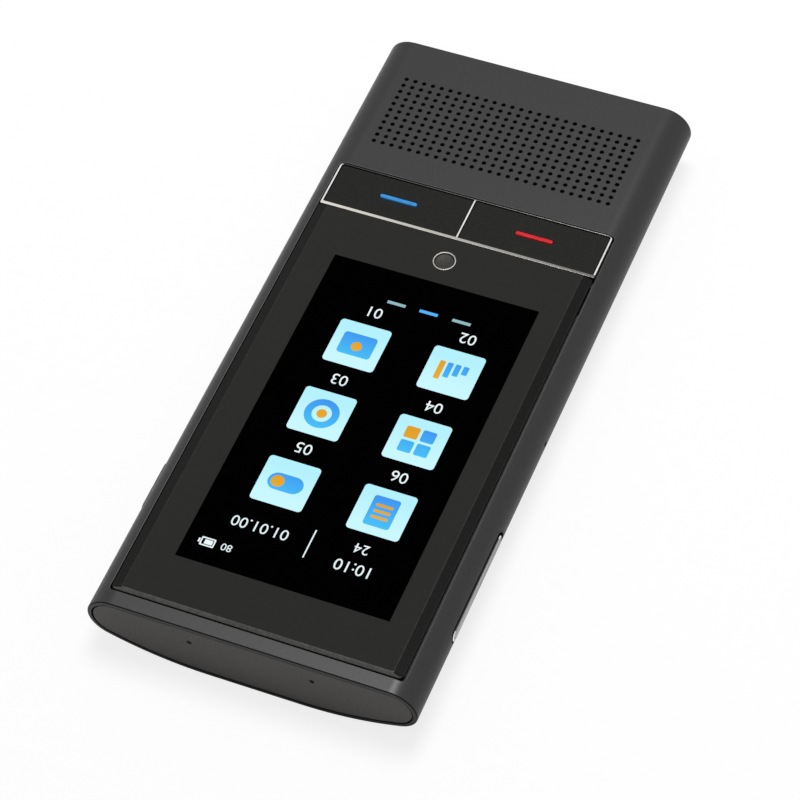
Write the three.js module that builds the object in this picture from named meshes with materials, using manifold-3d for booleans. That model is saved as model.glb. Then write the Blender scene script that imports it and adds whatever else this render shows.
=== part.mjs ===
// Handheld translator, lying on its back: screen up along +Z, microphone end at +Y, millimetres.
import * as THREE from 'three';
import { mergeVertices } from 'three/addons/utils/BufferGeometryUtils.js';
import Module from 'manifold-3d';

const wasm = await Module();
wasm.setup();

// Housing sleeve, an extruded tube that runs along Y
const bodyLength = 129;
const bodyWidth = 57.3;
const bodyThickness = 12.4;
const shoulderRadius = 4.85;
const noseRadius = 4.6;
const backFlatWidth = 16;
const sleeveWall = 1.1;
const endBevel = 0.35;

// Front opening of the sleeve
const openingSideMargin = 3.05;
const openingFarMargin = 30.5;
const openingNearMargin = 2.9;
const openingCornerRadius = 1.2;
const openingGap = 0.35;
const openingFarGap = 0.2;

// Speaker grille, drilled through the sleeve
const grilleRows = 11;
const grillePitchX = 1.68;
const grillePitchY = 1.53;
const grilleHoleDiameter = 0.78;
const grilleFarMargin = 8.8;
const grilleSideMargin = 1.9;
const grilleHoleSides = 6;

// Clearances shared by many pieces
const seatGap = 0.05;
const fitGap = 0.3;
const chassisGap = 0.2;
const overrun = 1;

// End caps, set into both ends of the sleeve
const capThickness = 2;
const capRecess = 0.1;
const capGap = 0.12;
const capPegRadius = 1;
const capPegLength = 3;
const capPegMargin = 7.15;
const capPegGap = 0.12;

// Microphones behind the near cap
const micSpread = 21.3;
const micHoleDiameter = 0.85;
const micHeight = 8.1;
const micCapsuleWidth = 3.8;
const micCapsuleHeight = 3;
const micCapsuleDepth = 1.1;
const micBootRadius = 1.8;
const micBootDepth = 0.6;
const micBoardMargin = 1.45;
const micBoardHeight = 4;

// USB-C socket behind the far cap
const socketWidth = 8.94;
const socketHeight = 3.26;
const socketDepth = 6.8;
const socketRecess = 0.4;
const socketWall = 0.35;
const socketMouthGap = 0.15;
const tongueWidth = 6.69;
const tongueThickness = 0.7;
const tongueRecess = 0.9;

// Key bezel, the bright frame round the two keys
const bezelLength = 9.65;
const bezelSideWidth = 0.5;
const bezelFarWidth = 0.25;
const bezelNearWidth = 0.8;
const bezelDividerWidth = 0.5;
const bezelHeight = 1.15;
const bezelRecess = 0.05;
const bezelCornerRadius = 1.3;
const bezelSharpRadius = 0.2;

// Blue and red keys with their light bars
const keyGap = 0.15;
const keyRecess = 0.2;
const keyFlangeLip = 0.25;
const keyFlangeThickness = 0.7;
const keyFlangeGap = 0.15;
const keyNubRadius = 1.2;
const keyNubGap = 0.9;
const lightBarLength = 6.7;
const lightBarWidth = 0.75;
const lightBarProud = 0.18;
const lightBarBevel = 0.12;
const lightBarGap = 0.06;
const lightSourceLength = 1.6;
const lightSourceWidth = 0.8;
const lightSourceHeight = 0.6;

// Home button and its ring, in a hole of the glass
const homeOffset = 4.9;
const ringDiameter = 4.06;
const ringWidth = 0.35;
const ringRecess = 0.03;
const ringFootWidth = 0.8;
const ringFootThickness = 0.2;
const ringGap = 0.07;
const homeButtonGap = 0.13;
const homeButtonRecess = 0.15;
const homeButtonDish = 0.12;
const homeFlangeWidth = 0.5;
const homeFlangeThickness = 0.4;

// Cover glass
const glassThickness = 1.1;
const glassRecess = 0.08;
const glassFarGap = 0.12;
const glassSlopeWidth = 1.75;
const glassSlopeDrop = 0.42;
const glassEndBevelWidth = 0.55;
const glassEndBevelDrop = 0.35;
const glassCornerRadius = 0.9;
const adhesiveThickness = 0.2;
const adhesiveFarWidth = 1.2;
const adhesiveInset = 1;

// Display under the glass
const screenSideMargin = 6.57;
const screenShift = -0.5;
const screenFarMargin = 9.8;
const screenNearMargin = 9.08;
const lcdSideMargin = 1.5;
const lcdFarMargin = 1.5;
const lcdNearMargin = 4.2;
const lcdThickness = 0.9;
const backlightThickness = 1.1;
const backlightInset = 0.85;
const flexWidth = 10;
const flexThickness = 0.15;
const flexFoot = 5.5;

// Tactile switches, all alike
const switchSize = 3;
const switchHeight = 0.95;
const switchFloor = 0.15;
const plungerRadius = 0.8;
const plungerProud = 0.5;
const plungerLength = 0.9;
const plungerGap = 0.12;

// Key board under the keys and the home button
const boardThickness = 0.8;
const keyBoardInset = 0.6;
const homeBoardReach = 1.9;

// Side keys and their boards
const sideKeyHeight = 3;
const volumeKeyLength = 21.1;
const volumeKeyNearMargin = 26.5;
const volumeKeyRecess = 0.3;
const powerKeyLength = 10.6;
const powerKeyNearMargin = 26.1;
const powerKeyProud = 0.5;
const slotGap = 0.2;
const sideKeyBevel = 0.3;
const sideFlangeLip = 0.6;
const sideFlangeGap = 0.3;
const sideFlangeThickness = 0.7;
const sideNubLength = 0.5;
const sideNubRadius = 0.8;
const volumeSwitchSpread = 14;
const sideBoardHeight = 3.6;
const sideBoardEnd = 2;
const fulcrumRadius = 0.6;
const resetOffset = 29.9;
const resetHoleDiameter = 0.9;

// Chassis that carries everything and slides into the sleeve
const deckThickness = 1;
const crossWall = 0.7;
const keyFloorThickness = 0.9;
const glassRibWidth = 1.6;
const glassRibGap = 0.25;
const batteryRib = 2.6;
const bossRadius = 2;

// Speaker under the grille
const speakerMargin = 1;
const speakerFrameHeight = 3.6;
const speakerFrameWall = 1.1;
const speakerFrameFloor = 0.7;
const speakerCornerRadius = 3;
const coneGap = 0.3;
const coneThickness = 0.4;
const coneRollHeight = 0.5;
const coneRollWidth = 1.4;
const coneLift = 1.2;
const coilRadius = 3.4;
const coilHeight = 1;
const coilWall = 0.5;
const magnetLength = 22;
const magnetWidth = 9.6;
const magnetHeight = 1.2;
const clothThickness = 0.15;
const gasketThickness = 0.8;
const gasketWidth = 1.3;

// Main board, shields, screws and antenna
const mainBoardHeight = 4.2;
const mainBoardMargin = 8.15;
const mainBoardFlexReach = 14.53;
const shieldHeight = 1.4;
const processorShieldLength = 16;
const processorShieldMargin = 2.5;
const radioShieldLength = 10;
const radioShieldMargin = 3.5;
const shieldWall = 0.25;
const shieldSpacing = 5;
const screwShaftRadius = 0.7;
const screwHeadRadius = 1.4;
const screwHeadHeight = 0.75;
const screwGrip = 1.5;
const screwHoleGap = 0.12;
const screwEdgeMargin = 2.6;
const antennaPegGap = 3.43;
const antennaHeight = 4;
const antennaThickness = 0.12;

// Battery
const batteryMargin = 9.05;
const batteryThickness = 4.6;
const batteryCornerRadius = 1.5;
const tapeThickness = 0.2;
const tapeInset = 4;
const leadWidth = 8;
const leadThickness = 0.2;
const leadOnBoard = 5;

// Counts for curves
const shoulderSteps = 7;
const noseSteps = 6;
const backSteps = 6;
const cornerSteps = 2;
const roundSides = 20;
const smallSides = 12;
const weldTolerance = 1e-4;

// Levels and edges worked out from the sizes above
const halfWidth = bodyWidth / 2;
const farEnd = -bodyLength / 2;
const nearEnd = bodyLength / 2;
const sideHeight = bodyThickness - shoulderRadius;
const topInside = bodyThickness - sleeveWall;
const openingFar = farEnd + openingFarMargin;
const openingNear = nearEnd - openingNearMargin;
const openingHalf = halfWidth - openingSideMargin;
const coverHalf = openingHalf - openingGap;
const capPegX = halfWidth - capPegMargin;
const micBoardWidth = micSpread + micCapsuleWidth + 2 * micBoardMargin;
const chassisFar = farEnd + capRecess + capThickness + fitGap;
const chassisNear = nearEnd - capRecess - capThickness - fitGap;
const bezelFar = openingFar + openingFarGap;
const bezelNear = bezelFar + bezelLength;
const bezelTop = bodyThickness - bezelRecess;
const bezelBottom = bezelTop - bezelHeight;
const windowFar = bezelFar + bezelFarWidth;
const windowNear = bezelNear - bezelNearWidth;
const windowMiddle = (windowFar + windowNear) / 2;
const windowInner = bezelDividerWidth / 2;
const windowOuter = coverHalf - bezelSideWidth;
const flangeReach = keyFlangeLip - keyGap;
const keyTop = bodyThickness - keyRecess;
const keyFlangeTop = bezelBottom - keyFlangeGap;
const keyFlangeBottom = keyFlangeTop - keyFlangeThickness;
const plungerTop = keyFlangeBottom - keyFlangeGap - seatGap;
const switchTop = plungerTop - plungerProud;
const keyBoardTop = switchTop - switchHeight - seatGap;
const keyFloorTop = keyBoardTop - boardThickness - seatGap;
const keyFloorBottom = keyFloorTop - keyFloorThickness;
const glassFar = bezelNear + glassFarGap;
const glassNear = openingNear - openingGap;
const glassTop = bodyThickness - glassRecess;
const glassBottom = glassTop - glassThickness;
const rimTop = glassBottom - adhesiveThickness - 2 * seatGap;
const homeY = glassFar + homeOffset;
const ringRadius = ringDiameter / 2;
const homeButtonRadius = ringRadius - ringWidth - homeButtonGap;
const ringFootBottom = glassBottom - seatGap - ringFootThickness;
const homeFlangeTop = ringFootBottom - keyFlangeGap;
const screenFar = glassFar + screenFarMargin;
const screenHalf = coverHalf - screenSideMargin;
const screenNear = glassNear - screenNearMargin;
const lcdFar = screenFar - lcdFarMargin;
const lcdNear = screenNear + lcdNearMargin;
const lcdLeft = screenShift - screenHalf - lcdSideMargin;
const lcdRight = screenShift + screenHalf + lcdSideMargin;
const lcdTop = glassBottom - seatGap;
const backlightTop = lcdTop - lcdThickness - seatGap;
const deckTop = backlightTop - backlightThickness - seatGap;
const deckBottom = deckTop - deckThickness;
const wellHalf = windowOuter + flangeReach + fitGap;
const wellFar = windowFar - flangeReach - fitGap;
const wellNear = lcdFar - fitGap - crossWall;
const mainBoardHalf = halfWidth - mainBoardMargin;
const mainBoardTop = mainBoardHeight + boardThickness;
const mainBoardFar = chassisFar + fitGap;
const mainBoardNear = lcdFar + mainBoardFlexReach;
const batteryFar = mainBoardNear + batteryRib + 2 * fitGap;
const batteryNear = lcdNear;
const batteryHalf = halfWidth - batteryMargin;
const batteryTop = deckBottom - tapeThickness - 2 * seatGap;
const lightBarX = (windowInner + windowOuter) / 2;
const keyNubX = lightBarX - lightBarLength / 2 - keyNubGap;
const volumeY = nearEnd - volumeKeyNearMargin;
const powerY = nearEnd - powerKeyNearMargin;
const resetY = volumeY - resetOffset;
const sideFlangeHeight = sideKeyHeight + 2 * sideFlangeLip;
const sideFlangeOuter = insideHalfWidth(sideFlangeHeight / 2) - sideFlangeGap;
const sideFlangeInner = sideFlangeOuter - sideFlangeThickness;
const sideNubInner = sideFlangeInner - sideNubLength;
const sidePlungerTip = sideNubInner - seatGap;
const sideBoardOuter = sidePlungerTip - plungerProud - switchHeight - seatGap;
const sideBoardInner = sideBoardOuter - boardThickness;
const sidePocketInner = sideBoardInner - seatGap;
const grilleFar = farEnd + grilleFarMargin;
const grilleNear = grilleFar + (grilleRows - 1) * grillePitchY;
const grilleSideHoles = Math.floor((halfWidth - shoulderRadius - grilleSideMargin) / grillePitchX);
const grilleHalf = grilleSideHoles * grillePitchX;
const clothTop = topInside - seatGap;
const speakerFar = grilleFar - speakerMargin;
const speakerNear = grilleNear + speakerMargin;
const speakerHalf = grilleHalf - speakerMargin;
const speakerMiddle = (speakerFar + speakerNear) / 2;
const speakerTop = clothTop - clothThickness - gasketThickness - 2 * seatGap;
const speakerBottom = speakerTop - speakerFrameHeight;
const magnetTop = speakerBottom - seatGap;
const socketFar = farEnd + capRecess + socketRecess;
const socketNear = socketFar + socketDepth;
const socketBottom = mainBoardTop + seatGap;
const socketMiddle = socketBottom + socketHeight / 2;
const shieldMiddle = mainBoardNear - shieldSpacing - processorShieldLength / 2;
const screwX = mainBoardHalf - screwEdgeMargin;
const screwFarY = bezelFar + screwEdgeMargin + fitGap;
const screwNearY = mainBoardNear - screwEdgeMargin;

// Width of the inside of the sleeve at a distance above or below its widest level
function insideHalfWidth(away) {
  const shoulder = Math.sqrt((shoulderRadius - sleeveWall) ** 2 - away ** 2) - shoulderRadius;
  const nose = Math.sqrt((noseRadius - sleeveWall) ** 2 - away ** 2) - noseRadius;
  return halfWidth + Math.min(shoulder, nose);
}

// Solids from closed three.js geometries, and back again
function solidOf(geometry) {
  geometry.deleteAttribute('normal');
  geometry.deleteAttribute('uv');
  const merged = mergeVertices(geometry, weldTolerance);
  const corners = merged.index.array;
  const kept = [];
  for (let i = 0; i < corners.length; i += 3) {
    const [a, b, c] = [corners[i], corners[i + 1], corners[i + 2]];
    if (a !== b && b !== c && c !== a) {
      kept.push(a, b, c);
    }
  }
  return new wasm.Manifold(new wasm.Mesh({
    numProp: 3,
    vertProperties: Float32Array.from(merged.attributes.position.array),
    triVerts: Uint32Array.from(kept),
  }));
}

function geometryOf(solid) {
  const mesh = solid.getMesh();
  const geometry = new THREE.BufferGeometry();
  geometry.setAttribute('position', new THREE.BufferAttribute(mesh.vertProperties, 3));
  geometry.setIndex(new THREE.BufferAttribute(mesh.triVerts, 1));
  geometry.computeVertexNormals();
  return geometry;
}

// Outline in X and Y raised from low to high along Z
function raised(shape, low, high, bevel = 0) {
  const geometry = new THREE.ExtrudeGeometry(shape, {
    depth: high - low - bevel,
    bevelEnabled: bevel > 0,
    bevelThickness: bevel,
    bevelSize: bevel,
    bevelOffset: -bevel,
    bevelSegments: 1,
    curveSegments: cornerSteps,
  });
  geometry.translate(0, 0, low);
  return solidOf(geometry);
}

// Outline in X and Z run from low to high along Y
function alongY(shape, low, high, bevel = 0) {
  const geometry = new THREE.ExtrudeGeometry(shape, {
    depth: high - low - 2 * bevel,
    bevelEnabled: bevel > 0,
    bevelThickness: bevel,
    bevelSize: bevel,
    bevelOffset: -bevel,
    bevelSegments: 1,
    curveSegments: cornerSteps,
  });
  geometry.rotateX(Math.PI / 2);
  geometry.translate(0, high - bevel, 0);
  return solidOf(geometry);
}

// Outline in Y and Z run from low to high along X
function alongX(shape, low, high) {
  const geometry = new THREE.ExtrudeGeometry(shape, {
    depth: high - low,
    bevelEnabled: false,
    curveSegments: cornerSteps,
  });
  const basis = new THREE.Matrix4().makeBasis(
    new THREE.Vector3(0, 1, 0),
    new THREE.Vector3(0, 0, 1),
    new THREE.Vector3(1, 0, 0),
  );
  geometry.applyMatrix4(basis);
  geometry.translate(low, 0, 0);
  return solidOf(geometry);
}

function block(x0, x1, y0, y1, z0, z1) {
  const geometry = new THREE.BoxGeometry(x1 - x0, y1 - y0, z1 - z0);
  geometry.translate((x0 + x1) / 2, (y0 + y1) / 2, (z0 + z1) / 2);
  return solidOf(geometry);
}

// Upright round bar, or one that runs along Y
function pillar(x, y, radius, low, high, sides = smallSides) {
  const geometry = new THREE.CylinderGeometry(radius, radius, high - low, sides);
  geometry.rotateX(Math.PI / 2);
  geometry.translate(x, y, (low + high) / 2);
  return solidOf(geometry);
}

function barAlongY(x, z, radius, low, high, sides = smallSides) {
  const geometry = new THREE.CylinderGeometry(radius, radius, high - low, sides);
  geometry.translate(x, (low + high) / 2, z);
  return solidOf(geometry);
}

// Profile of radius and height points turned about a vertical axis
function turned(profile, sides = roundSides) {
  const points = profile.map(([radius, height]) => new THREE.Vector2(radius, height));
  const geometry = new THREE.LatheGeometry(points, sides);
  geometry.rotateX(Math.PI / 2);
  return solidOf(geometry);
}

// Rectangle with its own radius at each corner: low-low, high-low, high-high, low-high
function rectangle(x0, x1, y0, y1, radii = [0, 0, 0, 0]) {
  const corners = [[x0, y0, Math.PI], [x1, y0, -Math.PI / 2], [x1, y1, 0], [x0, y1, Math.PI / 2]];
  const shape = new THREE.Shape();
  corners.forEach(([x, y, start], index) => {
    const radius = radii[index];
    const centreX = x === x0 ? x + radius : x - radius;
    const centreY = y === y0 ? y + radius : y - radius;
    if (radius > 0) {
      shape.absarc(centreX, centreY, radius, start, start + Math.PI / 2, false);
    } else if (index === 0) {
      shape.moveTo(x, y);
    } else {
      shape.lineTo(x, y);
    }
  });
  return shape;
}

function rounded(x0, x1, y0, y1, radius) {
  return rectangle(x0, x1, y0, y1, [radius, radius, radius, radius]);
}

function polygon(points) {
  return new THREE.Shape(points.map(([x, y]) => new THREE.Vector2(x, y)));
}

// Cross-section of the body, moved inwards by an inset: flat back, bulged sides, flat top
function bodySection(inset) {
  const flatHalf = backFlatWidth / 2;
  const reach = halfWidth - noseRadius - flatHalf;
  const backRadius = (reach ** 2 + sideHeight ** 2 - noseRadius ** 2) / (2 * (sideHeight - noseRadius));
  const backTurn = Math.atan2(reach, backRadius - sideHeight);
  const half = [];
  for (let i = 0; i <= backSteps; i += 1) {
    const turn = (backTurn * i) / backSteps;
    const radius = backRadius - inset;
    half.push([flatHalf + radius * Math.sin(turn), backRadius - radius * Math.cos(turn)]);
  }
  for (let i = 1; i <= noseSteps; i += 1) {
    const turn = backTurn - Math.PI / 2 + ((Math.PI / 2 - backTurn) * i) / noseSteps;
    const radius = noseRadius - inset;
    half.push([halfWidth - noseRadius + radius * Math.cos(turn), sideHeight + radius * Math.sin(turn)]);
  }
  for (let i = 1; i <= shoulderSteps; i += 1) {
    const turn = (Math.PI / 2) * (i / shoulderSteps);
    const radius = shoulderRadius - inset;
    half.push([halfWidth - shoulderRadius + radius * Math.cos(turn), sideHeight + radius * Math.sin(turn)]);
  }
  const mirrored = half.map(([x, z]) => [-x, z]).reverse();
  return polygon([...half, ...mirrored]);
}

const translator = new THREE.Group();

function material(colour, roughness, metalness) {
  return new THREE.MeshStandardMaterial({ color: colour, roughness, metalness });
}

function addPiece(name, solid, finish, parent = translator) {
  const mesh = new THREE.Mesh(geometryOf(solid), finish);
  mesh.name = name;
  parent.add(mesh);
  return mesh;
}

const darkAnodised = material(0x434345, 0.45, 0.7);
const capPlastic = material(0x474643, 0.5, 0.1);
const chromePlate = material(0xe6e6e1, 0.12, 1);
const keyBlack = material(0x2b2b2a, 0.4, 0);
const silverPlate = material(0xc4c2ba, 0.25, 1);
const boardGreen = material(0x1f4a38, 0.55, 0);
const tinPlate = material(0xb9babb, 0.35, 0.9);
const switchPlastic = material(0x1c1c1d, 0.5, 0);
const chassisPlastic = material(0x2a2b2d, 0.6, 0);
const blackFoam = material(0x151515, 0.95, 0);

// Sleeve: tube, front opening, grille, side slots and pinhole
function housingSleeve() {
  const outside = alongY(bodySection(0), farEnd, nearEnd, endBevel);
  const inside = alongY(bodySection(sleeveWall), farEnd - overrun, nearEnd + overrun);
  const half = openingHalf;
  const opening = raised(
    rounded(-half, half, openingFar, openingNear, openingCornerRadius),
    sideHeight,
    bodyThickness + overrun,
  );
  return outside
    .subtract(inside)
    .subtract(opening)
    .subtract(grilleHoles())
    .subtract(sideSlot(-1, volumeY, volumeKeyLength))
    .subtract(sideSlot(1, powerY, powerKeyLength))
    .subtract(resetHole());
}

function grilleHoles() {
  const holes = [];
  for (let column = -grilleSideHoles; column <= grilleSideHoles; column += 1) {
    for (let row = 0; row < grilleRows; row += 1) {
      const x = column * grillePitchX;
      const y = grilleFar + row * grillePitchY;
      const top = bodyThickness + overrun;
      holes.push(pillar(x, y, grilleHoleDiameter / 2, sideHeight, top, grilleHoleSides));
    }
  }
  return wasm.Manifold.union(holes);
}

function sideKeyOutline(y, length, height) {
  const half = length / 2;
  const tall = height / 2;
  return rounded(y - half, y + half, sideHeight - tall, sideHeight + tall, tall);
}

function sideSlot(side, y, length) {
  const outline = sideKeyOutline(y, length + 2 * slotGap, sideKeyHeight + 2 * slotGap);
  const slot = alongX(outline, sideFlangeInner, halfWidth + overrun);
  return side > 0 ? slot : slot.mirror([1, 0, 0]);
}

function resetHole() {
  const geometry = new THREE.CylinderGeometry(
    resetHoleDiameter / 2,
    resetHoleDiameter / 2,
    halfWidth - sideFlangeInner + overrun,
    smallSides,
  );
  geometry.rotateZ(Math.PI / 2);
  geometry.translate(-(halfWidth + sideFlangeInner + overrun) / 2, resetY, sideHeight);
  return solidOf(geometry);
}

// End caps: a plate that follows the bore of the sleeve, with two pegs into the chassis
function endCap(direction) {
  const face = direction * (bodyLength / 2 - capRecess);
  const back = face - direction * capThickness;
  const tip = back - direction * capPegLength;
  let cap = alongY(bodySection(sleeveWall + capGap), Math.min(face, back), Math.max(face, back));
  for (const side of [-1, 1]) {
    const x = side * capPegX;
    const root = back + direction * seatGap;
    cap = cap.add(barAlongY(x, sideHeight, capPegRadius, Math.min(root, tip), Math.max(root, tip)));
  }
  return cap;
}

function micEndCap() {
  let cap = endCap(1);
  for (const side of [-1, 1]) {
    const x = (side * micSpread) / 2;
    const low = nearEnd - capThickness - overrun;
    cap = cap.subtract(barAlongY(x, micHeight, micHoleDiameter / 2, low, nearEnd + overrun));
  }
  return cap;
}

function portEndCap() {
  const half = socketWidth / 2 + socketMouthGap;
  const tall = socketHeight / 2 + socketMouthGap;
  const mouth = rounded(-half, half, socketMiddle - tall, socketMiddle + tall, tall);
  return endCap(-1).subtract(alongY(mouth, farEnd - overrun, chassisFar + overrun));
}

// Chassis: a moulding that fills the sleeve, cut away for everything that it carries
function chassis() {
  const span = bodyWidth;
  const blank = alongY(bodySection(sleeveWall + chassisGap), chassisFar, chassisNear);
  let frame = blank;
  const cut = (x0, x1, y0, y1, z0, z1) => {
    frame = frame.subtract(block(x0, x1, y0, y1, z0, z1));
  };
  const boardHalf = mainBoardHalf + fitGap;
  const bottomFar = chassisFar - overrun;
  cut(-span, span, bottomFar, chassisNear + overrun, rimTop, bodyThickness);
  cut(-wellHalf, wellHalf, wellFar, wellNear, keyFloorTop, bodyThickness);
  cut(lcdLeft - fitGap, lcdRight + fitGap, lcdFar - fitGap, lcdNear + fitGap, deckTop, bodyThickness);
  cut(-boardHalf, boardHalf, bottomFar, mainBoardNear + fitGap, 0, mainBoardTop + fitGap);
  cut(-boardHalf, boardHalf, bezelFar, mainBoardNear + fitGap, 0, keyFloorBottom);
  cut(-boardHalf, boardHalf, lcdFar - fitGap, mainBoardNear + fitGap, 0, deckBottom);
  const cellHalf = batteryHalf + fitGap;
  cut(-cellHalf, cellHalf, batteryFar - fitGap, batteryNear + fitGap, 0, deckBottom);
  const leadHalf = leadWidth / 2 + fitGap;
  const leadTop = mainBoardTop + leadThickness + fitGap;
  cut(-leadHalf, leadHalf, mainBoardNear, batteryFar, 0, leadTop + fitGap);
  const frameSide = speakerHalf + fitGap;
  const frameSeat = speakerBottom - seatGap;
  cut(-frameSide, frameSide, speakerFar - fitGap, speakerNear + fitGap, frameSeat, bodyThickness);
  const magnetSide = magnetLength / 2 + fitGap;
  const magnetReach = magnetWidth / 2 + fitGap;
  cut(-magnetSide, magnetSide, speakerMiddle - magnetReach, speakerMiddle + magnetReach, 0, bodyThickness);
  const clothSide = grilleHalf + gasketWidth + fitGap;
  const clothFar = grilleFar - gasketWidth - fitGap;
  const clothNear = grilleNear + gasketWidth + fitGap;
  cut(-clothSide, clothSide, clothFar, clothNear, speakerTop, bodyThickness);
  const socketSide = socketWidth / 2 + fitGap;
  const socketTop = socketBottom + socketHeight + fitGap;
  cut(-socketSide, socketSide, bottomFar, socketNear + fitGap, mainBoardHeight, socketTop);
  const flexHalf = flexWidth / 2 + fitGap;
  cut(-flexHalf, flexHalf, lcdFar - fitGap, lcdFar + backlightInset, deckBottom - overrun, deckTop + overrun);
  const micPocketHalf = micBoardWidth / 2 + fitGap;
  const micPocketFar = chassisNear - micPocketDepth();
  const micLow = micHeight - micBoardHeight / 2 - fitGap;
  const micHigh = micHeight + micBoardHeight / 2 + fitGap;
  cut(-micPocketHalf, micPocketHalf, micPocketFar, chassisNear + overrun, micLow, micHigh);
  const lowSide = sideHeight - sideFlangeHeight / 2 - fitGap;
  const highSide = sideHeight + sideFlangeHeight / 2 + fitGap;
  const [volumeFar, volumeNear] = volumeBoardEnds();
  cut(-span, -sidePocketInner, volumeFar - fitGap, volumeNear + fitGap, lowSide, highSide);
  const [powerFar, powerNear] = powerBoardEnds();
  cut(sidePocketInner, span, powerFar - fitGap, powerNear + fitGap, lowSide, highSide);
  frame = frame.add(glassRib().intersect(blank));
  for (const [x, y, top] of screwPlaces()) {
    frame = frame.add(pillar(x, y, bossRadius, mainBoardTop + seatGap, top + seatGap));
    frame = frame.subtract(pillar(x, y, screwShaftRadius + screwHoleGap, mainBoardTop, top - seatGap));
  }
  for (const direction of [-1, 1]) {
    for (const side of [-1, 1]) {
      const x = side * capPegX;
      const end = direction > 0 ? chassisNear : chassisFar;
      const low = direction > 0 ? end - capPegLength - fitGap : end - overrun;
      const high = direction > 0 ? end + overrun : end + capPegLength + fitGap;
      frame = frame.subtract(barAlongY(x, sideHeight, capPegRadius + capPegGap, low, high));
    }
  }
  return frame;
}

// Bridge of the chassis under the far edge of the glass
function glassRib() {
  const low = keyBoardTop + glassRibGap;
  const far = windowNear + flangeReach + glassRibGap;
  return block(-wellHalf - overrun, wellHalf + overrun, far, far + glassRibWidth, low, rimTop);
}

function micPocketDepth() {
  return micBootDepth + boardThickness + micCapsuleDepth + 2 * seatGap + fitGap;
}

function volumeBoardEnds() {
  return [resetY - switchSize / 2 - sideBoardEnd, volumeY + volumeKeyLength / 2 + sideFlangeLip];
}

function powerBoardEnds() {
  const half = powerKeyLength / 2 + sideFlangeLip;
  return [powerY - half, powerY + half];
}

function screwPlaces() {
  const places = [];
  for (const x of [-screwX, screwX]) {
    places.push([x, screwFarY, keyFloorBottom]);
    places.push([x, screwNearY, deckBottom]);
  }
  return places;
}

// Glass: flat face, sloped long edges, bevelled ends and the hole for the home ring
function frontGlass() {
  const flatHalf = coverHalf - glassSlopeWidth;
  const slopeEnd = glassTop - glassSlopeDrop;
  const profile = polygon([
    [-coverHalf, glassBottom],
    [coverHalf, glassBottom],
    [coverHalf, slopeEnd],
    [flatHalf, glassTop],
    [-flatHalf, glassTop],
    [-coverHalf, slopeEnd],
  ]);
  const corners = [0, 0, glassCornerRadius, glassCornerRadius];
  const outline = rectangle(-coverHalf, coverHalf, glassFar, glassNear, corners);
  const bevelSlope = glassEndBevelDrop / glassEndBevelWidth;
  const bevel = polygon([
    [glassNear - glassEndBevelWidth, glassTop],
    [glassNear + overrun, glassTop - bevelSlope * (glassEndBevelWidth + overrun)],
    [glassNear + overrun, glassTop + overrun],
    [glassNear - glassEndBevelWidth, glassTop + overrun],
  ]);
  return alongY(profile, glassFar, glassNear)
    .intersect(raised(outline, glassBottom - overrun, glassTop + overrun))
    .subtract(alongX(bevel, -bodyWidth, bodyWidth))
    .subtract(pillar(0, homeY, ringRadius + ringGap, glassBottom - overrun, glassTop + overrun, roundSides));
}

function glassAdhesive() {
  const side = coverHalf - adhesiveInset;
  const top = glassBottom - seatGap;
  const bottom = top - adhesiveThickness;
  const outer = block(-side, side, glassFar + seatGap, glassNear - adhesiveInset, bottom, top);
  const inner = block(
    lcdLeft - fitGap,
    lcdRight + fitGap,
    glassFar + adhesiveFarWidth,
    lcdNear + fitGap,
    bottom - overrun,
    top + overrun,
  );
  return outer.subtract(inner);
}

function displayPanel() {
  return raised(rounded(lcdLeft, lcdRight, lcdFar, lcdNear, bezelSharpRadius), lcdTop - lcdThickness, lcdTop);
}

function displayBacklight() {
  const tray = raised(
    rounded(lcdLeft, lcdRight, lcdFar + backlightInset, lcdNear, bezelSharpRadius),
    backlightTop - backlightThickness,
    backlightTop,
  );
  const wall = backlightInset;
  const well = block(
    lcdLeft + wall,
    lcdRight - wall,
    lcdFar + 2 * backlightInset,
    lcdNear - wall,
    backlightTop - backlightThickness / 2,
    backlightTop + overrun,
  );
  return tray.subtract(well);
}

// Display flex: tab under the panel, drop through the deck, foot on the main board
function displayFlex() {
  const drop = lcdFar + backlightInset / 2;
  const tabTop = backlightTop;
  const footBottom = mainBoardTop + seatGap;
  const profile = polygon([
    [drop, tabTop],
    [drop, footBottom],
    [drop + flexFoot, footBottom],
    [drop + flexFoot, footBottom + flexThickness],
    [drop + flexThickness, footBottom + flexThickness],
    [drop + flexThickness, tabTop],
  ]);
  return alongX(profile, -flexWidth / 2, flexWidth / 2);
}

// Bezel: bright frame with two windows, one on each side of the divider
function keyBezel() {
  const round = bezelCornerRadius;
  const sharp = bezelSharpRadius;
  const frame = raised(
    rectangle(-coverHalf, coverHalf, bezelFar, bezelNear, [round, round, sharp, sharp]),
    bezelBottom,
    bezelTop,
  );
  return frame.subtract(keyWindow(1)).subtract(keyWindow(-1));
}

function keyOutline(side, grow) {
  const inner = windowInner - grow;
  const outer = windowOuter + grow;
  const round = Math.max(bezelCornerRadius - bezelSideWidth + grow, bezelSharpRadius);
  const sharp = bezelSharpRadius;
  if (side > 0) {
    return rectangle(inner, outer, windowFar - grow, windowNear + grow, [sharp, round, sharp, sharp]);
  }
  return rectangle(-outer, -inner, windowFar - grow, windowNear + grow, [round, sharp, sharp, sharp]);
}

function keyWindow(side) {
  return raised(keyOutline(side, 0), bezelBottom - overrun, bezelTop + overrun);
}

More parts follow.
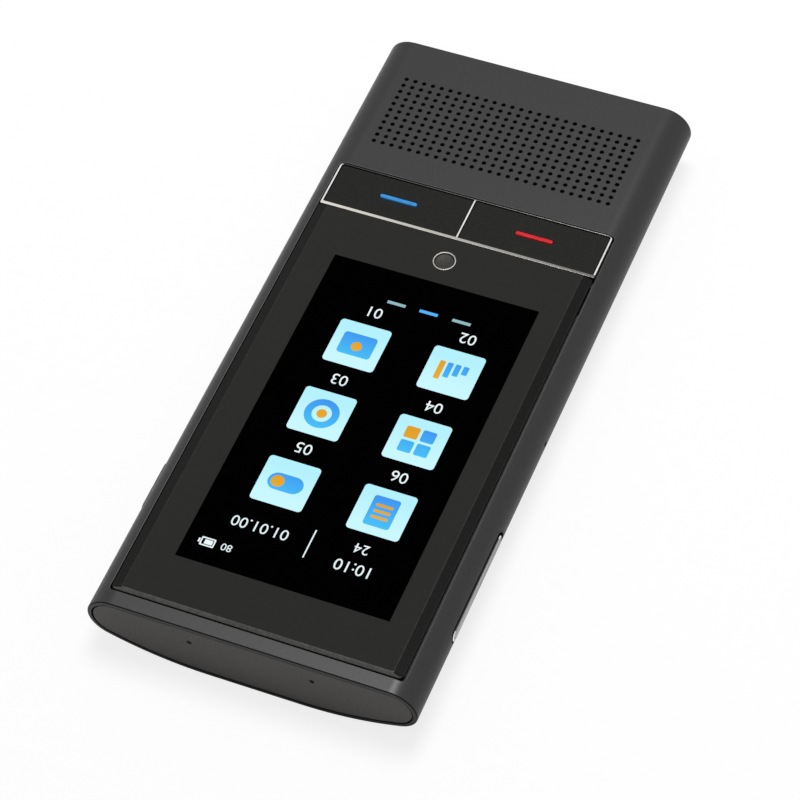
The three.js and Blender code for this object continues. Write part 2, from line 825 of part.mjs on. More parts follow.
// Key: plate in its window, flange under the bezel, nub over the switch, slot for the light bar
function key(side) {
  const plate = raised(keyOutline(side, -keyGap), keyFlangeBottom, keyTop);
  const flange = raised(keyOutline(side, flangeReach), keyFlangeBottom, keyFlangeTop);
  const nub = pillar(side * keyNubX, windowMiddle, keyNubRadius, plungerTop + seatGap, keyFlangeTop);
  const slot = raised(
    lightBarOutline(side, lightBarGap),
    keyFlangeBottom - overrun,
    keyTop + overrun,
  );
  return plate.add(flange).add(nub).subtract(slot);
}

function lightBarOutline(side, grow) {
  const x = side * lightBarX;
  const half = lightBarLength / 2 + grow;
  const wide = lightBarWidth / 2 + grow;
  return rounded(x - half, x + half, windowMiddle - wide, windowMiddle + wide, wide);
}

function lightBar(side) {
  const low = keyFlangeBottom + lightBarBevel;
  return raised(lightBarOutline(side, 0), low, keyTop + lightBarProud, lightBarBevel);
}

// Home ring and button, turned about one upright axis
function homeRing() {
  const top = bodyThickness - ringRecess;
  const inner = ringRadius - ringWidth;
  const footTop = ringFootBottom + ringFootThickness;
  const footRadius = ringRadius + ringFootWidth;
  return turned([
    [inner, ringFootBottom],
    [footRadius, ringFootBottom],
    [footRadius, footTop],
    [ringRadius, footTop],
    [ringRadius, top],
    [inner, top],
    [inner, ringFootBottom],
  ]);
}

function homeButton() {
  const top = bodyThickness - homeButtonRecess;
  const flangeRadius = homeButtonRadius + homeFlangeWidth;
  const flangeBottom = homeFlangeTop - homeFlangeThickness;
  return turned([
    [0, plungerTop + seatGap],
    [plungerRadius, plungerTop + seatGap],
    [plungerRadius, flangeBottom],
    [flangeRadius, flangeBottom],
    [flangeRadius, homeFlangeTop],
    [homeButtonRadius, homeFlangeTop],
    [homeButtonRadius, top - homeButtonDish],
    [homeButtonRadius - homeButtonDish, top],
    [homeButtonRadius / 2, top - homeButtonDish],
    [0, top - homeButtonDish],
  ]);
}

// Switch standing on z = 0 of its own group, with its plunger as a second piece
function addSwitch(name, x, y, z, turn) {
  const place = new THREE.Group();
  place.position.set(x, y, z);
  place.rotation.y = turn;
  const half = switchSize / 2;
  const bodySolid = block(-half, half, -half, half, 0, switchHeight).subtract(
    pillar(0, 0, plungerRadius + plungerGap, switchFloor, switchHeight + overrun),
  );
  addPiece(`${name}_switch`, bodySolid, switchPlastic, place);
  const top = switchHeight + plungerProud;
  addPiece(`${name}_plunger`, pillar(0, 0, plungerRadius, top - plungerLength, top), silverPlate, place);
  translator.add(place);
}

function keyBoard() {
  const half = windowOuter - keyBoardInset;
  return block(-half, half, windowFar, homeY + homeBoardReach, keyBoardTop - boardThickness, keyBoardTop);
}

function keyLight(side) {
  const x = side * lightBarX;
  const length = lightSourceLength / 2;
  const width = lightSourceWidth / 2;
  const bottom = keyBoardTop + seatGap;
  const top = bottom + lightSourceHeight;
  return block(x - length, x + length, windowMiddle - width, windowMiddle + width, bottom, top);
}

// Side key: rounded bar in the slot, flange inside the sleeve, nubs over the switches
function sideKey(y, length, face, nubs) {
  const plate = alongX(sideKeyOutline(y, length, sideKeyHeight), sideFlangeInner, face - sideKeyBevel);
  const crown = alongX(
    sideKeyOutline(y, length - 2 * sideKeyBevel, sideKeyHeight - 2 * sideKeyBevel),
    sideFlangeInner,
    face,
  );
  const flangeLength = length + 2 * sideFlangeLip;
  const flange = alongX(sideKeyOutline(y, flangeLength, sideFlangeHeight), sideFlangeInner, sideFlangeOuter);
  let whole = plate.add(crown).add(flange);
  for (const [nubY, radius, inner] of nubs) {
    const nub = sideKeyOutline(nubY, 2 * radius, 2 * radius);
    whole = whole.add(alongX(nub, inner, sideFlangeInner + seatGap));
  }
  return whole;
}

function powerKey() {
  return sideKey(powerY, powerKeyLength, halfWidth + powerKeyProud, [[powerY, sideNubRadius, sideNubInner]]);
}

function volumeKey() {
  const reach = volumeSwitchSpread / 2;
  const nubs = [
    [volumeY - reach, sideNubRadius, sideNubInner],
    [volumeY + reach, sideNubRadius, sideNubInner],
    [volumeY, fulcrumRadius, sideBoardOuter + 2 * seatGap],
  ];
  return sideKey(volumeY, volumeKeyLength, halfWidth - volumeKeyRecess, nubs).mirror([1, 0, 0]);
}

function sideBoard(side, [far, near]) {
  const low = sideHeight - sideBoardHeight / 2;
  const high = sideHeight + sideBoardHeight / 2;
  const inner = side * sideBoardInner;
  const outer = side * sideBoardOuter;
  return block(Math.min(inner, outer), Math.max(inner, outer), far, near, low, high);
}

// Main board with its screw holes
function mainBoard() {
  const half = mainBoardHalf;
  let board = block(-half, half, mainBoardFar, mainBoardNear, mainBoardHeight, mainBoardTop);
  for (const [x, y] of screwPlaces()) {
    const radius = screwShaftRadius + screwHoleGap;
    board = board.subtract(pillar(x, y, radius, mainBoardHeight - overrun, mainBoardTop + overrun));
  }
  return board;
}

// Shield can: a thin box open towards the board above it
function shieldCan(x, y, width, length) {
  const top = mainBoardHeight - seatGap;
  const bottom = top - shieldHeight;
  const can = block(x - width / 2, x + width / 2, y - length / 2, y + length / 2, bottom, top);
  return can.subtract(block(
    x - width / 2 + shieldWall,
    x + width / 2 - shieldWall,
    y - length / 2 + shieldWall,
    y + length / 2 - shieldWall,
    bottom + shieldWall,
    top + overrun,
  ));
}

function processorShield() {
  const width = mainBoardHalf - processorShieldMargin;
  return shieldCan(-width / 2, shieldMiddle, width, processorShieldLength);
}

function radioShield() {
  const width = mainBoardHalf - shieldSpacing - radioShieldMargin;
  return shieldCan(shieldSpacing + width / 2, shieldMiddle, width, radioShieldLength);
}

function boardScrew(x, y) {
  const headTop = mainBoardHeight - seatGap;
  const headBottom = headTop - screwHeadHeight;
  const screw = turned([
    [0, headBottom],
    [screwHeadRadius, headBottom],
    [screwHeadRadius, headTop],
    [screwShaftRadius, headTop],
    [screwShaftRadius, mainBoardTop + screwGrip],
    [0, mainBoardTop + screwGrip],
  ], smallSides);
  const slot = block(
    -screwShaftRadius / 2,
    screwShaftRadius / 2,
    -screwHeadRadius / 2,
    screwHeadRadius / 2,
    headBottom - overrun,
    headBottom + screwHeadHeight / 2,
  );
  return screw.subtract(slot).translate([x, y, 0]);
}

// USB-C socket: a rounded steel shell, open at the mouth, and the tongue inside it
function usbSocket() {
  const half = socketWidth / 2;
  const tall = socketHeight / 2;
  const outer = rounded(-half, half, socketMiddle - tall, socketMiddle + tall, tall);
  const inner = rounded(
    -half + socketWall,
    half - socketWall,
    socketMiddle - tall + socketWall,
    socketMiddle + tall - socketWall,
    tall - socketWall,
  );
  const hollow = alongY(inner, socketFar - overrun, socketNear - socketWall);
  return alongY(outer, socketFar, socketNear).subtract(hollow);
}

function usbTongue() {
  const half = tongueWidth / 2;
  const thick = tongueThickness / 2;
  const shape = rounded(-half, half, socketMiddle - thick, socketMiddle + thick, thick / 2);
  return alongY(shape, socketFar + tongueRecess, socketNear - socketWall - seatGap);
}

// Microphone parts, stacked inwards from the near cap
function micBoot(side) {
  const x = (side * micSpread) / 2;
  const near = chassisNear + fitGap - seatGap;
  const far = near - micBootDepth;
  const boot = barAlongY(x, micHeight, micBootRadius, far, near);
  return boot.subtract(barAlongY(x, micHeight, micHoleDiameter / 2, far - overrun, near + overrun));
}

function micBoard() {
  const near = chassisNear + fitGap - micBootDepth - 2 * seatGap;
  const far = near - boardThickness;
  const half = micBoardWidth / 2;
  const low = micHeight - micBoardHeight / 2;
  let board = block(-half, half, far, near, low, low + micBoardHeight);
  for (const side of [-1, 1]) {
    const x = (side * micSpread) / 2;
    board = board.subtract(barAlongY(x, micHeight, micHoleDiameter / 2, far - overrun, near + overrun));
  }
  return board;
}

function micCapsule(side) {
  const x = (side * micSpread) / 2;
  const near = chassisNear + fitGap - micBootDepth - boardThickness - 3 * seatGap;
  const wide = micCapsuleWidth / 2;
  const tall = micCapsuleHeight / 2;
  return block(x - wide, x + wide, near - micCapsuleDepth, near, micHeight - tall, micHeight + tall);
}

// Speaker: basket, moving cone, magnet, gasket ring and dust cloth
function speakerOutline(grow) {
  const half = speakerHalf + grow;
  const radius = speakerCornerRadius + grow;
  return rounded(-half, half, speakerFar - grow, speakerNear + grow, radius);
}

function speakerFrame() {
  const basket = raised(speakerOutline(0), speakerBottom, speakerTop);
  const bowlFloor = speakerBottom + speakerFrameFloor;
  const bowl = raised(speakerOutline(-speakerFrameWall), bowlFloor, speakerTop + overrun);
  const boreRadius = coilRadius + coneGap;
  const bore = pillar(0, speakerMiddle, boreRadius, speakerBottom - overrun, speakerTop, roundSides);
  return basket.subtract(bowl).subtract(bore);
}

function speakerCone() {
  const base = speakerBottom + speakerFrameFloor + coneLift;
  const sheet = base + coneThickness;
  const edge = -speakerFrameWall - coneGap;
  const skirt = raised(speakerOutline(edge), base, sheet);
  const roll = raised(speakerOutline(edge - coneRollWidth / 2), base, sheet + coneRollHeight);
  const dip = raised(speakerOutline(edge - coneRollWidth), sheet, sheet + overrun);
  const coilTop = base + coneThickness / 2;
  const coil = pillar(0, speakerMiddle, coilRadius, base - coilHeight, coilTop, roundSides);
  const coilEnd = base - coilHeight - overrun;
  const hollow = pillar(0, speakerMiddle, coilRadius - coilWall, coilEnd, base, roundSides);
  return skirt.add(roll).subtract(dip).add(coil).subtract(hollow);
}

function speakerMagnet() {
  const half = magnetLength / 2;
  const wide = magnetWidth / 2;
  const shape = rounded(-half, half, speakerMiddle - wide, speakerMiddle + wide, speakerCornerRadius / 2);
  return raised(shape, magnetTop - magnetHeight, magnetTop);
}

function speakerGasket() {
  const top = clothTop - clothThickness - seatGap;
  const outer = raised(speakerOutline(0), top - gasketThickness, top);
  const low = top - gasketThickness - overrun;
  return outer.subtract(raised(speakerOutline(-gasketWidth), low, top + overrun));
}

function speakerCloth() {
  const half = grilleHalf + gasketWidth;
  const far = grilleFar - gasketWidth;
  const near = grilleNear + gasketWidth;
  const shape = rounded(-half, half, far, near, bezelCornerRadius);
  return raised(shape, clothTop - clothThickness, clothTop);
}

// Battery with its tape against the deck and its lead to the board
function battery() {
  const bottom = batteryTop - batteryThickness;
  const section = rounded(-batteryHalf, batteryHalf, bottom, batteryTop, batteryCornerRadius);
  return alongY(section, batteryFar, batteryNear);
}

function batteryTape() {
  const half = batteryHalf - tapeInset;
  const top = deckBottom - seatGap;
  return block(-half, half, batteryFar + tapeInset, batteryNear - tapeInset, top - tapeThickness, top);
}

function batteryLead() {
  const half = leadWidth / 2;
  const bottom = mainBoardTop + seatGap;
  const near = batteryFar - seatGap;
  return block(-half, half, mainBoardNear - leadOnBoard, near, bottom, bottom + leadThickness);
}

// Antenna foil on the far face of the chassis, behind the port cap
function antennaFoil() {
  const start = socketWidth / 2 + 2 * fitGap;
  const end = capPegX - capPegRadius - antennaPegGap;
  const near = chassisFar - seatGap;
  const low = sideHeight - antennaHeight / 2;
  return block(start, end, near - antennaThickness, near, low, low + antennaHeight);
}

addPiece('housing_sleeve', housingSleeve(), darkAnodised);
addPiece('mic_end_cap', micEndCap(), capPlastic);
addPiece('port_end_cap', portEndCap(), capPlastic);
addPiece('chassis', chassis(), chassisPlastic);
addPiece('front_glass', frontGlass(), material(0x303030, 0.12, 0));
addPiece('glass_adhesive', glassAdhesive(), blackFoam);
addPiece('display_panel', displayPanel(), material(0x050506, 0.15, 0));
addPiece('display_backlight', displayBacklight(), tinPlate);
addPiece('display_flex', displayFlex(), material(0x8a5a24, 0.5, 0));
addPiece('key_bezel', keyBezel(), chromePlate);
addPiece('blue_key', key(1), keyBlack);
addPiece('red_key', key(-1), keyBlack);
addPiece('blue_light_bar', lightBar(1), material(0x3c96d7, 0.3, 0));
addPiece('red_light_bar', lightBar(-1), material(0xd72d32, 0.3, 0));
addPiece('home_ring', homeRing().translate([0, homeY, 0]), silverPlate);
addPiece('home_button', homeButton().translate([0, homeY, 0]), material(0x474745, 0.35, 0.2));
addPiece('key_board', keyBoard(), boardGreen);
addPiece('blue_key_light', keyLight(1), material(0xf0ecd8, 0.4, 0));
addPiece('red_key_light', keyLight(-1), material(0xf0ecd8, 0.4, 0));
addSwitch('blue_key', keyNubX, windowMiddle, keyBoardTop + seatGap, 0);
addSwitch('red_key', -keyNubX, windowMiddle, keyBoardTop + seatGap, 0);
addSwitch('home', 0, homeY, keyBoardTop + seatGap, 0);
addPiece('volume_key', volumeKey(), material(0x8b8b8a, 0.3, 0.9));
addPiece('volume_board', sideBoard(-1, volumeBoardEnds()), boardGreen);
const sideSwitchFoot = sideBoardOuter + seatGap;
addSwitch('volume_up', -sideSwitchFoot, volumeY + volumeSwitchSpread / 2, sideHeight, -Math.PI / 2);
addSwitch('volume_down', -sideSwitchFoot, volumeY - volumeSwitchSpread / 2, sideHeight, -Math.PI / 2);
addSwitch('reset', -sideSwitchFoot, resetY, sideHeight, -Math.PI / 2);
addPiece('power_key', powerKey(), darkAnodised);
addPiece('power_board', sideBoard(1, powerBoardEnds()), boardGreen);
addSwitch('power', sideSwitchFoot, powerY, sideHeight, Math.PI / 2);
addPiece('main_board', mainBoard(), boardGreen);
addPiece('processor_shield', processorShield(), tinPlate);
addPiece('radio_shield', radioShield(), tinPlate);
screwPlaces().forEach(([x, y], index) => {
  addPiece(`board_screw_${index + 1}`, boardScrew(x, y), tinPlate);
});
addPiece('usb_socket', usbSocket(), tinPlate);
addPiece('usb_tongue', usbTongue(), switchPlastic);
addPiece('antenna_foil', antennaFoil(), material(0xb87333, 0.4, 0.8));
addPiece('mic_board', micBoard(), boardGreen);
for (const [label, side] of [['right', 1], ['left', -1]]) {
  addPiece(`mic_boot_${label}`, micBoot(side), blackFoam);
  addPiece(`mic_capsule_${label}`, micCapsule(side), silverPlate);
}
addPiece('speaker_frame', speakerFrame(), switchPlastic);
addPiece('speaker_cone', speakerCone(), material(0x3a3a3c, 0.6, 0));
addPiece('speaker_magnet', speakerMagnet(), tinPlate);
addPiece('speaker_gasket', speakerGasket(), blackFoam);
addPiece('speaker_cloth', speakerCloth(), blackFoam);
addPiece('battery', battery(), material(0x9a9c9f, 0.4, 0.6));
addPiece('battery_tape', batteryTape(), material(0xe8e4d4, 0.7, 0));
addPiece('battery_lead', batteryLead(), material(0x8a5a24, 0.5, 0));

export default translator;
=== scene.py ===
"""A handheld translator on its back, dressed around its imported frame. Lengths are in millimetres."""
import math

import bmesh
import bpy
from mathutils import Matrix, Quaternion, Vector
from mathutils.geometry import tessellate_polygon


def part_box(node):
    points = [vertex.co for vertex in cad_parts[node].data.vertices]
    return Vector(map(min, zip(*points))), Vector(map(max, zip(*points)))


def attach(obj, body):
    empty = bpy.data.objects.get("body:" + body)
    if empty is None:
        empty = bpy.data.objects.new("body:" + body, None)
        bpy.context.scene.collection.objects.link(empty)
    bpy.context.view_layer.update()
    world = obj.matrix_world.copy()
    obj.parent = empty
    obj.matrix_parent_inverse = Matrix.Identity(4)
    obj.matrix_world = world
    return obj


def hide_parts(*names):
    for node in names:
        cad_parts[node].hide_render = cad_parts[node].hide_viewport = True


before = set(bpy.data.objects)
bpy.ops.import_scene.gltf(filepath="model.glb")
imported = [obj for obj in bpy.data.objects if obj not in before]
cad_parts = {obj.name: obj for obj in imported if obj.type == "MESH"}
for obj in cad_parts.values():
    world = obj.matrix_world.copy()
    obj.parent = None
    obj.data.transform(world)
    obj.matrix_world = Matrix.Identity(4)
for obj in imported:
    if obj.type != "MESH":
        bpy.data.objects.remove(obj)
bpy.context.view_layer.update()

METRE = 1000.0


# Camera
# The device is seen from above its microphone end, turned so that the speaker end points away to
# the upper right. The long lens keeps the edges of the body nearly parallel.
CAMERA_AIM = (-2.05, 6.81, 6.2)
CAMERA_DISTANCE = 576.3
CAMERA_HEADING = math.radians(153.613)
CAMERA_DROP = math.radians(52.689)
CAMERA_ROLL = math.radians(-5.225)
FRAME_WIDTH_PX = 800
FOCAL_PX = 3438


def add_object(name, data):
    made = bpy.data.objects.new(name, data)
    bpy.context.scene.collection.objects.link(made)
    return made


def aimed(name, data, place_mm, look, roll=0.0):
    """A camera or a lamp at a place, looking along a direction."""
    made = add_object(name, data)
    made.location = place_mm / METRE
    made.rotation_mode = "QUATERNION"
    made.rotation_quaternion = look.to_track_quat("-Z", "Y") @ Quaternion((0, 0, 1), roll)
    return made


def aim_camera():
    look = Vector((
        math.sin(CAMERA_HEADING) * math.cos(CAMERA_DROP),
        math.cos(CAMERA_HEADING) * math.cos(CAMERA_DROP),
        -math.sin(CAMERA_DROP),
    ))
    data = bpy.data.cameras.new("camera")
    data.sensor_width = 36.0
    data.lens = FOCAL_PX * data.sensor_width / FRAME_WIDTH_PX
    data.clip_start = 0.01
    data.clip_end = 20.0
    place = Vector(CAMERA_AIM) - look * CAMERA_DISTANCE
    bpy.context.scene.camera = aimed("camera", data, place, look, CAMERA_ROLL)


aim_camera()


# Housing sleeve
# One aluminium extrusion with a flat back, a pointed nose along each side and a flat top, sawn to
# length and blasted with fine grit, then milled, drilled and dyed dark grey in the anodising bath.
# The grit leaves a satin skin that shows a soft grain close up.
SLEEVE_WALL = 1.1
SHOULDER_RADIUS = 4.85
NOSE_RADIUS = 4.6
BACK_FLAT_WIDTH = 16.0
SLEEVE_END_BEVEL = 0.25
CAP_SEAT_WALL = 0.75
CAP_SEAT_DEPTH = 2.1
RIM_BEVEL = 0.1
SIDE_SLOT_HEIGHT = 2.8
VOLUME_BAR = (27.8, 49.25)
POWER_BAR = (33.2, 43.6)
SLOT_GAP = 0.15
SLOT_END_GAP = 0.5
SLOT_STEPS = 12
PIN_ROWS = 2
OPENING_GAP = 0.35
OPENING_FAR_GAP = 0.2
OPENING_NEAR_GAP = 0.5
OPENING_RADIUS = 0.8
PINHOLE_RADIUS = 0.45
GRILLE_PITCH = (1.68, 1.53)
GRILLE_SIDE_HOLES = 13
GRILLE_ROWS = 11
GRILLE_FAR_MARGIN = 8.8
GRILLE_HOLE_RADIUS = 0.39
GRILLE_HOLE_STEPS = 5
BACK_STEPS = 24
NOSE_STEPS = 10
SHOULDER_STEPS = 12
CORNER_STEPS = 6
BEVEL_STEPS = 5
KEY_DIGITS = 4
CREASE = math.cos(math.radians(38))


def box_mm(node):
    low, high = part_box(node)
    return low * METRE, high * METRE


sleeve_low, sleeve_high = box_mm("housing_sleeve")
glass_low, glass_high = box_mm("front_glass")
bezel_low, bezel_high = box_mm("key_bezel")
reset_low, reset_high = box_mm("reset_plunger")
reset_y = (reset_low.y + reset_high.y) / 2
body_half = sleeve_high.x
body_top = sleeve_high.z
side_level = body_top - SHOULDER_RADIUS
flat_half = body_half - SHOULDER_RADIUS
back_reach = body_half - NOSE_RADIUS - BACK_FLAT_WIDTH / 2
back_radius = (back_reach ** 2 + side_level ** 2 - NOSE_RADIUS ** 2) / (2 * (side_level - NOSE_RADIUS))
back_turn = math.atan2(back_reach, back_radius - side_level)


def colour(code):
    """sRGB hex to the linear colour that a shader takes."""
    parts = [int(code[i:i + 2], 16) / 255 for i in (1, 3, 5)]
    return [p / 12.92 if p <= 0.04045 else ((p + 0.055) / 1.055) ** 2.4 for p in parts] + [1.0]


def add_node(tree, kind, inputs=None, **settings):
    """Adds a node, makes its settings, and fills or links its inputs."""
    made = tree.nodes.new(kind)
    for key, value in settings.items():
        setattr(made, key, value)
    for key, value in (inputs or {}).items():
        if isinstance(value, bpy.types.NodeSocket):
            tree.links.new(value, made.inputs[key])
        else:
            made.inputs[key].default_value = value
    return made


def grained(name, dark, light, grain, depth, contrast=0.5, stretch=(1, 1, 1), **shading):
    """A finish whose colour and height vary with a grain of that size in millimetres.

    The grain is drawn out along an axis by its stretch."""
    material = bpy.data.materials.new(name)
    material.use_nodes = True
    tree = material.node_tree
    shader = tree.nodes["Principled BSDF"]
    for key, value in shading.items():
        shader.inputs[key.replace("_", " ")].default_value = value
    place = add_node(tree, "ShaderNodeTexCoord").outputs["Object"]
    scale = [1 / length for length in stretch]
    drawn = add_node(tree, "ShaderNodeMapping", {"Vector": place, "Scale": scale})
    noise = add_node(tree, "ShaderNodeTexNoise", {
        "Vector": drawn.outputs["Vector"],
        "Scale": METRE / grain,
        "Detail": 3.0,
        "Roughness": 0.6,
    })
    height = noise.outputs["Fac"]
    middle = 0.5
    spread = 0.25 * contrast
    ramp = add_node(tree, "ShaderNodeMapRange", {
        "Value": height,
        "From Min": middle - spread,
        "From Max": middle + spread,
    })
    mix = add_node(tree, "ShaderNodeMix", {
        "Factor": ramp.outputs["Result"],
        6: colour(dark),
        7: colour(light),
    }, data_type="RGBA")
    bump = add_node(tree, "ShaderNodeBump", {"Height": height, "Distance": depth / METRE, "Strength": 1.0})
    tree.links.new(mix.outputs[2], shader.inputs["Base Color"])
    tree.links.new(bump.outputs["Normal"], shader.inputs["Normal"])
    return material


def spaced(low, high, steps):
    """Numbers at even steps from low to high, both included."""
    return [low + (high - low) * i / steps for i in range(steps + 1)]


def skinned(loops):
    """Faces from each loop of points to the next one."""
    faces = []
    for low, high in zip(loops, loops[1:]):
        faces += zip(low, low[1:] + low[:1], high[1:] + high[:1], high)
    return faces


def key_of(point):
    return tuple(round(value, KEY_DIGITS) for value in point)


def on_back(turn, inset):
    """Point and normal of the body's section on the bulge that joins the flat back to the nose."""
    radius = back_radius - inset
    x = BACK_FLAT_WIDTH / 2 + radius * math.sin(turn)
    return (x, back_radius - radius * math.cos(turn)), (math.sin(turn), -math.cos(turn))


def on_side(turn, inset):
    """Point and normal on the nose below its middle level, or on the shoulder above it."""
    arc = SHOULDER_RADIUS if turn > 0 else NOSE_RADIUS
    radius = arc - inset
    x = body_half - arc + radius * math.cos(turn)
    return (x, side_level + radius * math.sin(turn)), (math.cos(turn), math.sin(turn))


def side_turn_at_height(rise, inset):
    arc = SHOULDER_RADIUS if rise > 0 else NOSE_RADIUS
    return math.asin(rise / (arc - inset))


def side_turn_at_x(x, inset):
    return math.acos((x - flat_half) / (SHOULDER_RADIUS - inset))


class Station:
    """A line along the sleeve, at its own turn on the outer skin, layer 0, and the inner, layer 1."""

    def __init__(self, curve, turns, side=1):
        self.curve = curve
        self.turns = turns
        self.side = side
        self.marks = []

    def mirrored(self):
        return Station(self.curve, self.turns, -self.side)

    def point(self, layer, y, inset=0.0):
        (x, z), (across, up) = self.curve(self.turns[layer], layer * SLEEVE_WALL)
        return Vector((self.side * (x - inset * across), y, z - inset * up))

    def facing(self, layer=0):
        _, (across, up) = self.curve(self.turns[layer], layer * SLEEVE_WALL)
        return Vector((self.side * across, 0, up)) * (1 - 2 * layer)


def half_stations(slot_rises, opening_xs):
    """Stations up one side: the back, the nose, the rows of the slot, the shoulder, the opening."""
    def between(low, high, steps):
        return list(zip(*(spaced(a, b, steps)[1:-1] for a, b in zip(low, high))))

    slot = [[side_turn_at_height(rise, layer * SLEEVE_WALL) for layer, rise in enumerate(rises)]
            for rises in slot_rises]
    opening = [[side_turn_at_x(x, layer * SLEEVE_WALL) for layer, x in enumerate(xs)]
               for xs in opening_xs]
    nose = between([back_turn - math.pi / 2] * 2, slot[0], NOSE_STEPS)
    shoulder = between(slot[-1], opening[0], SHOULDER_STEPS)
    back = [Station(on_back, (turn, turn)) for turn in spaced(0, back_turn, BACK_STEPS)]
    sides = nose + slot + shoulder + opening + [[math.pi / 2] * 2]
    slot_first = len(back) + len(nose)
    opening_first = slot_first + len(slot) + len(shoulder)
    return back + [Station(on_side, turns) for turns in sides], slot_first, opening_first


def slot_hole(first, bar):
    """The hole for a side key, with round ends.

    A hole has, for each station that it crosses, the marks of its low and high end on both skins,
    and the place of its rim below the bevel."""
    hole = {}
    tall = SIDE_SLOT_HEIGHT / 2 + SLOT_GAP
    y = (bar[0] + bar[1]) / 2
    straight = (bar[1] - bar[0]) / 2 + SLOT_END_GAP - tall
    for i in range(SLOT_STEPS + 1):
        turn = math.pi * (i / SLOT_STEPS - 0.5)
        reach = [straight + (tall + bevel) * math.cos(turn) for bevel in (RIM_BEVEL, 0)]
        (x, z), _ = on_side(side_turn_at_height(tall * math.sin(turn), 0), 0)
        hole[first + i] = (tuple(y - r for r in reach), tuple(y + r for r in reach), (x - RIM_BEVEL, z))
    return hole


def opening_hole(right, first):
    """The +X half of the opening for the glass and the keys, with round corners."""
    hole = {}
    far = bezel_low.y - OPENING_FAR_GAP + OPENING_RADIUS
    near = glass_high.y + OPENING_NEAR_GAP - OPENING_RADIUS
    for i, station in enumerate(right[first:]):
        turn = min(i / CORNER_STEPS, 1) * math.pi / 2
        reach = [(OPENING_RADIUS + bevel) * math.sin(turn) for bevel in (RIM_BEVEL, 0)]
        x = station.point(1, 0).x
        z = on_side(side_turn_at_x(x, 0), 0)[0][1] - RIM_BEVEL
        hole[first + i] = (tuple(far - r for r in reach), tuple(near + r for r in reach), (x, z))
    return hole


def flipped(hole, count):
    """A hole carried over to the stations of the other side, which run backwards."""
    return {count - 1 - k: (low, high, (-x, z)) for k, (low, high, (x, z)) in hole.items()}


def rim_faces(stations, hole):
    """The wall of a hole: from the outer skin to a bevel's depth below it, and to the inner skin."""
    run = sorted(hole)
    ends = [(k, hole[k][0]) for k in run] + [(k, hole[k][1]) for k in reversed(run)]
    return skinned([
        [stations[k].point(0, outer) for k, (outer, _) in ends],
        [Vector((hole[k][2][0], inner, hole[k][2][1])) for k, (_, inner) in ends],
        [stations[k].point(1, inner) for k, (_, inner) in ends],
    ])


def circle(u, v, radius, sides=32, start=0.0):
    turns = [start + 2 * math.pi * i / sides for i in range(sides)]
    return [(u + radius * math.cos(turn), v + radius * math.sin(turn)) for turn in turns]


def cell_loops(x, y, half_x, half_y, radii, per_side):
    """A rectangle and circles inside it, all as loops of four times per_side points."""
    corners = [(-1, -1), (1, -1), (1, 1), (-1, 1)]
    square = []
    for (a, b), (c, d) in zip(corners, corners[1:] + corners[:1]):
        for share in spaced(0, 1, per_side)[:-1]:
            square.append((x + half_x * (a + (c - a) * share), y + half_y * (b + (d - b) * share)))
    return [square] + [circle(x, y, radius, 4 * per_side, -0.75 * math.pi) for radius in radii]


def grille_patch(far, near):
    """The flat of the sleeve on the speaker's side of the opening, drilled with the grille."""
    pitch_x, pitch_y = GRILLE_PITCH
    first_row = sleeve_low.y + GRILLE_FAR_MARGIN
    edge_x = pitch_x * (GRILLE_SIDE_HOLES + 0.5)
    edge_low = first_row - pitch_y / 2
    edge_high = edge_low + GRILLE_ROWS * pitch_y
    under = body_top - SLEEVE_WALL
    columns = range(-GRILLE_SIDE_HOLES, GRILLE_SIDE_HOLES + 1)
    radii = (GRILLE_HOLE_RADIUS + RIM_BEVEL / 2, GRILLE_HOLE_RADIUS)
    faces = []
    for column in columns:
        for row in range(GRILLE_ROWS):
            cell = (column * pitch_x, first_row + row * pitch_y, pitch_x / 2, pitch_y / 2)
            square, wide, bore = cell_loops(*cell, radii, GRILLE_HOLE_STEPS)
            faces += skinned([[Vector((*p, level)) for p in loop] for loop, level in (
                (square, body_top), (wide, body_top), (bore, body_top - RIM_BEVEL / 2),
                (bore, under), (square, under),
            )])
    xs = spaced(-edge_x, edge_x, len(columns) * GRILLE_HOLE_STEPS)[::-1]
    ys = spaced(edge_low, edge_high, GRILLE_ROWS * GRILLE_HOLE_STEPS)[::-1]
    for layer, level in enumerate((body_top, under)):
        outlines = [
            [(-flat_half, end[layer]), (flat_half, end[layer]), (flat_half, edge)]
            + [(x, edge) for x in xs] + [(-flat_half, edge)]
            for end, edge in ((far, edge_low), (near, edge_high))
        ] + [
            [(side * flat_half, edge_low), (side * flat_half, edge_high)]
            + [(side * edge_x, y) for y in ys]
            for side in (-1, 1)
        ]
        faces += [[Vector((x, y, level)) for x, y in outline] for outline in outlines]
    return faces, (edge_low, edge_high)


def pinhole(stations, pin):
    """The reset hole: a round bore in a square cell of the sleeve's -X side."""
    rows = len(pin) - 1
    half = pin[max(pin)][1][0] - reset_y
    radii = (PINHOLE_RADIUS + RIM_BEVEL, PINHOLE_RADIUS)
    square, wide, bore = cell_loops(reset_y, 0, half, half, radii, rows)

    def lifted(points, inset, sink=0.0):
        loop = []
        for y, rise in points:
            (x, z), _ = on_side(side_turn_at_height(rise, inset), inset)
            loop.append(Vector((sink - x, y, z)))
        return loop

    def snapped(layer):
        """The cell's edge, with its rows on the stations that it lies between."""
        return [stations[max(pin) - round((rise / half + 1) / 2 * rows)].point(layer, y)
                for y, rise in square]

    loops = [snapped(0), lifted(wide, 0), lifted(bore, 0, RIM_BEVEL), lifted(bore, SLEEVE_WALL), snapped(1)]
    return skinned(loops), {(y, y) for y, _ in square}


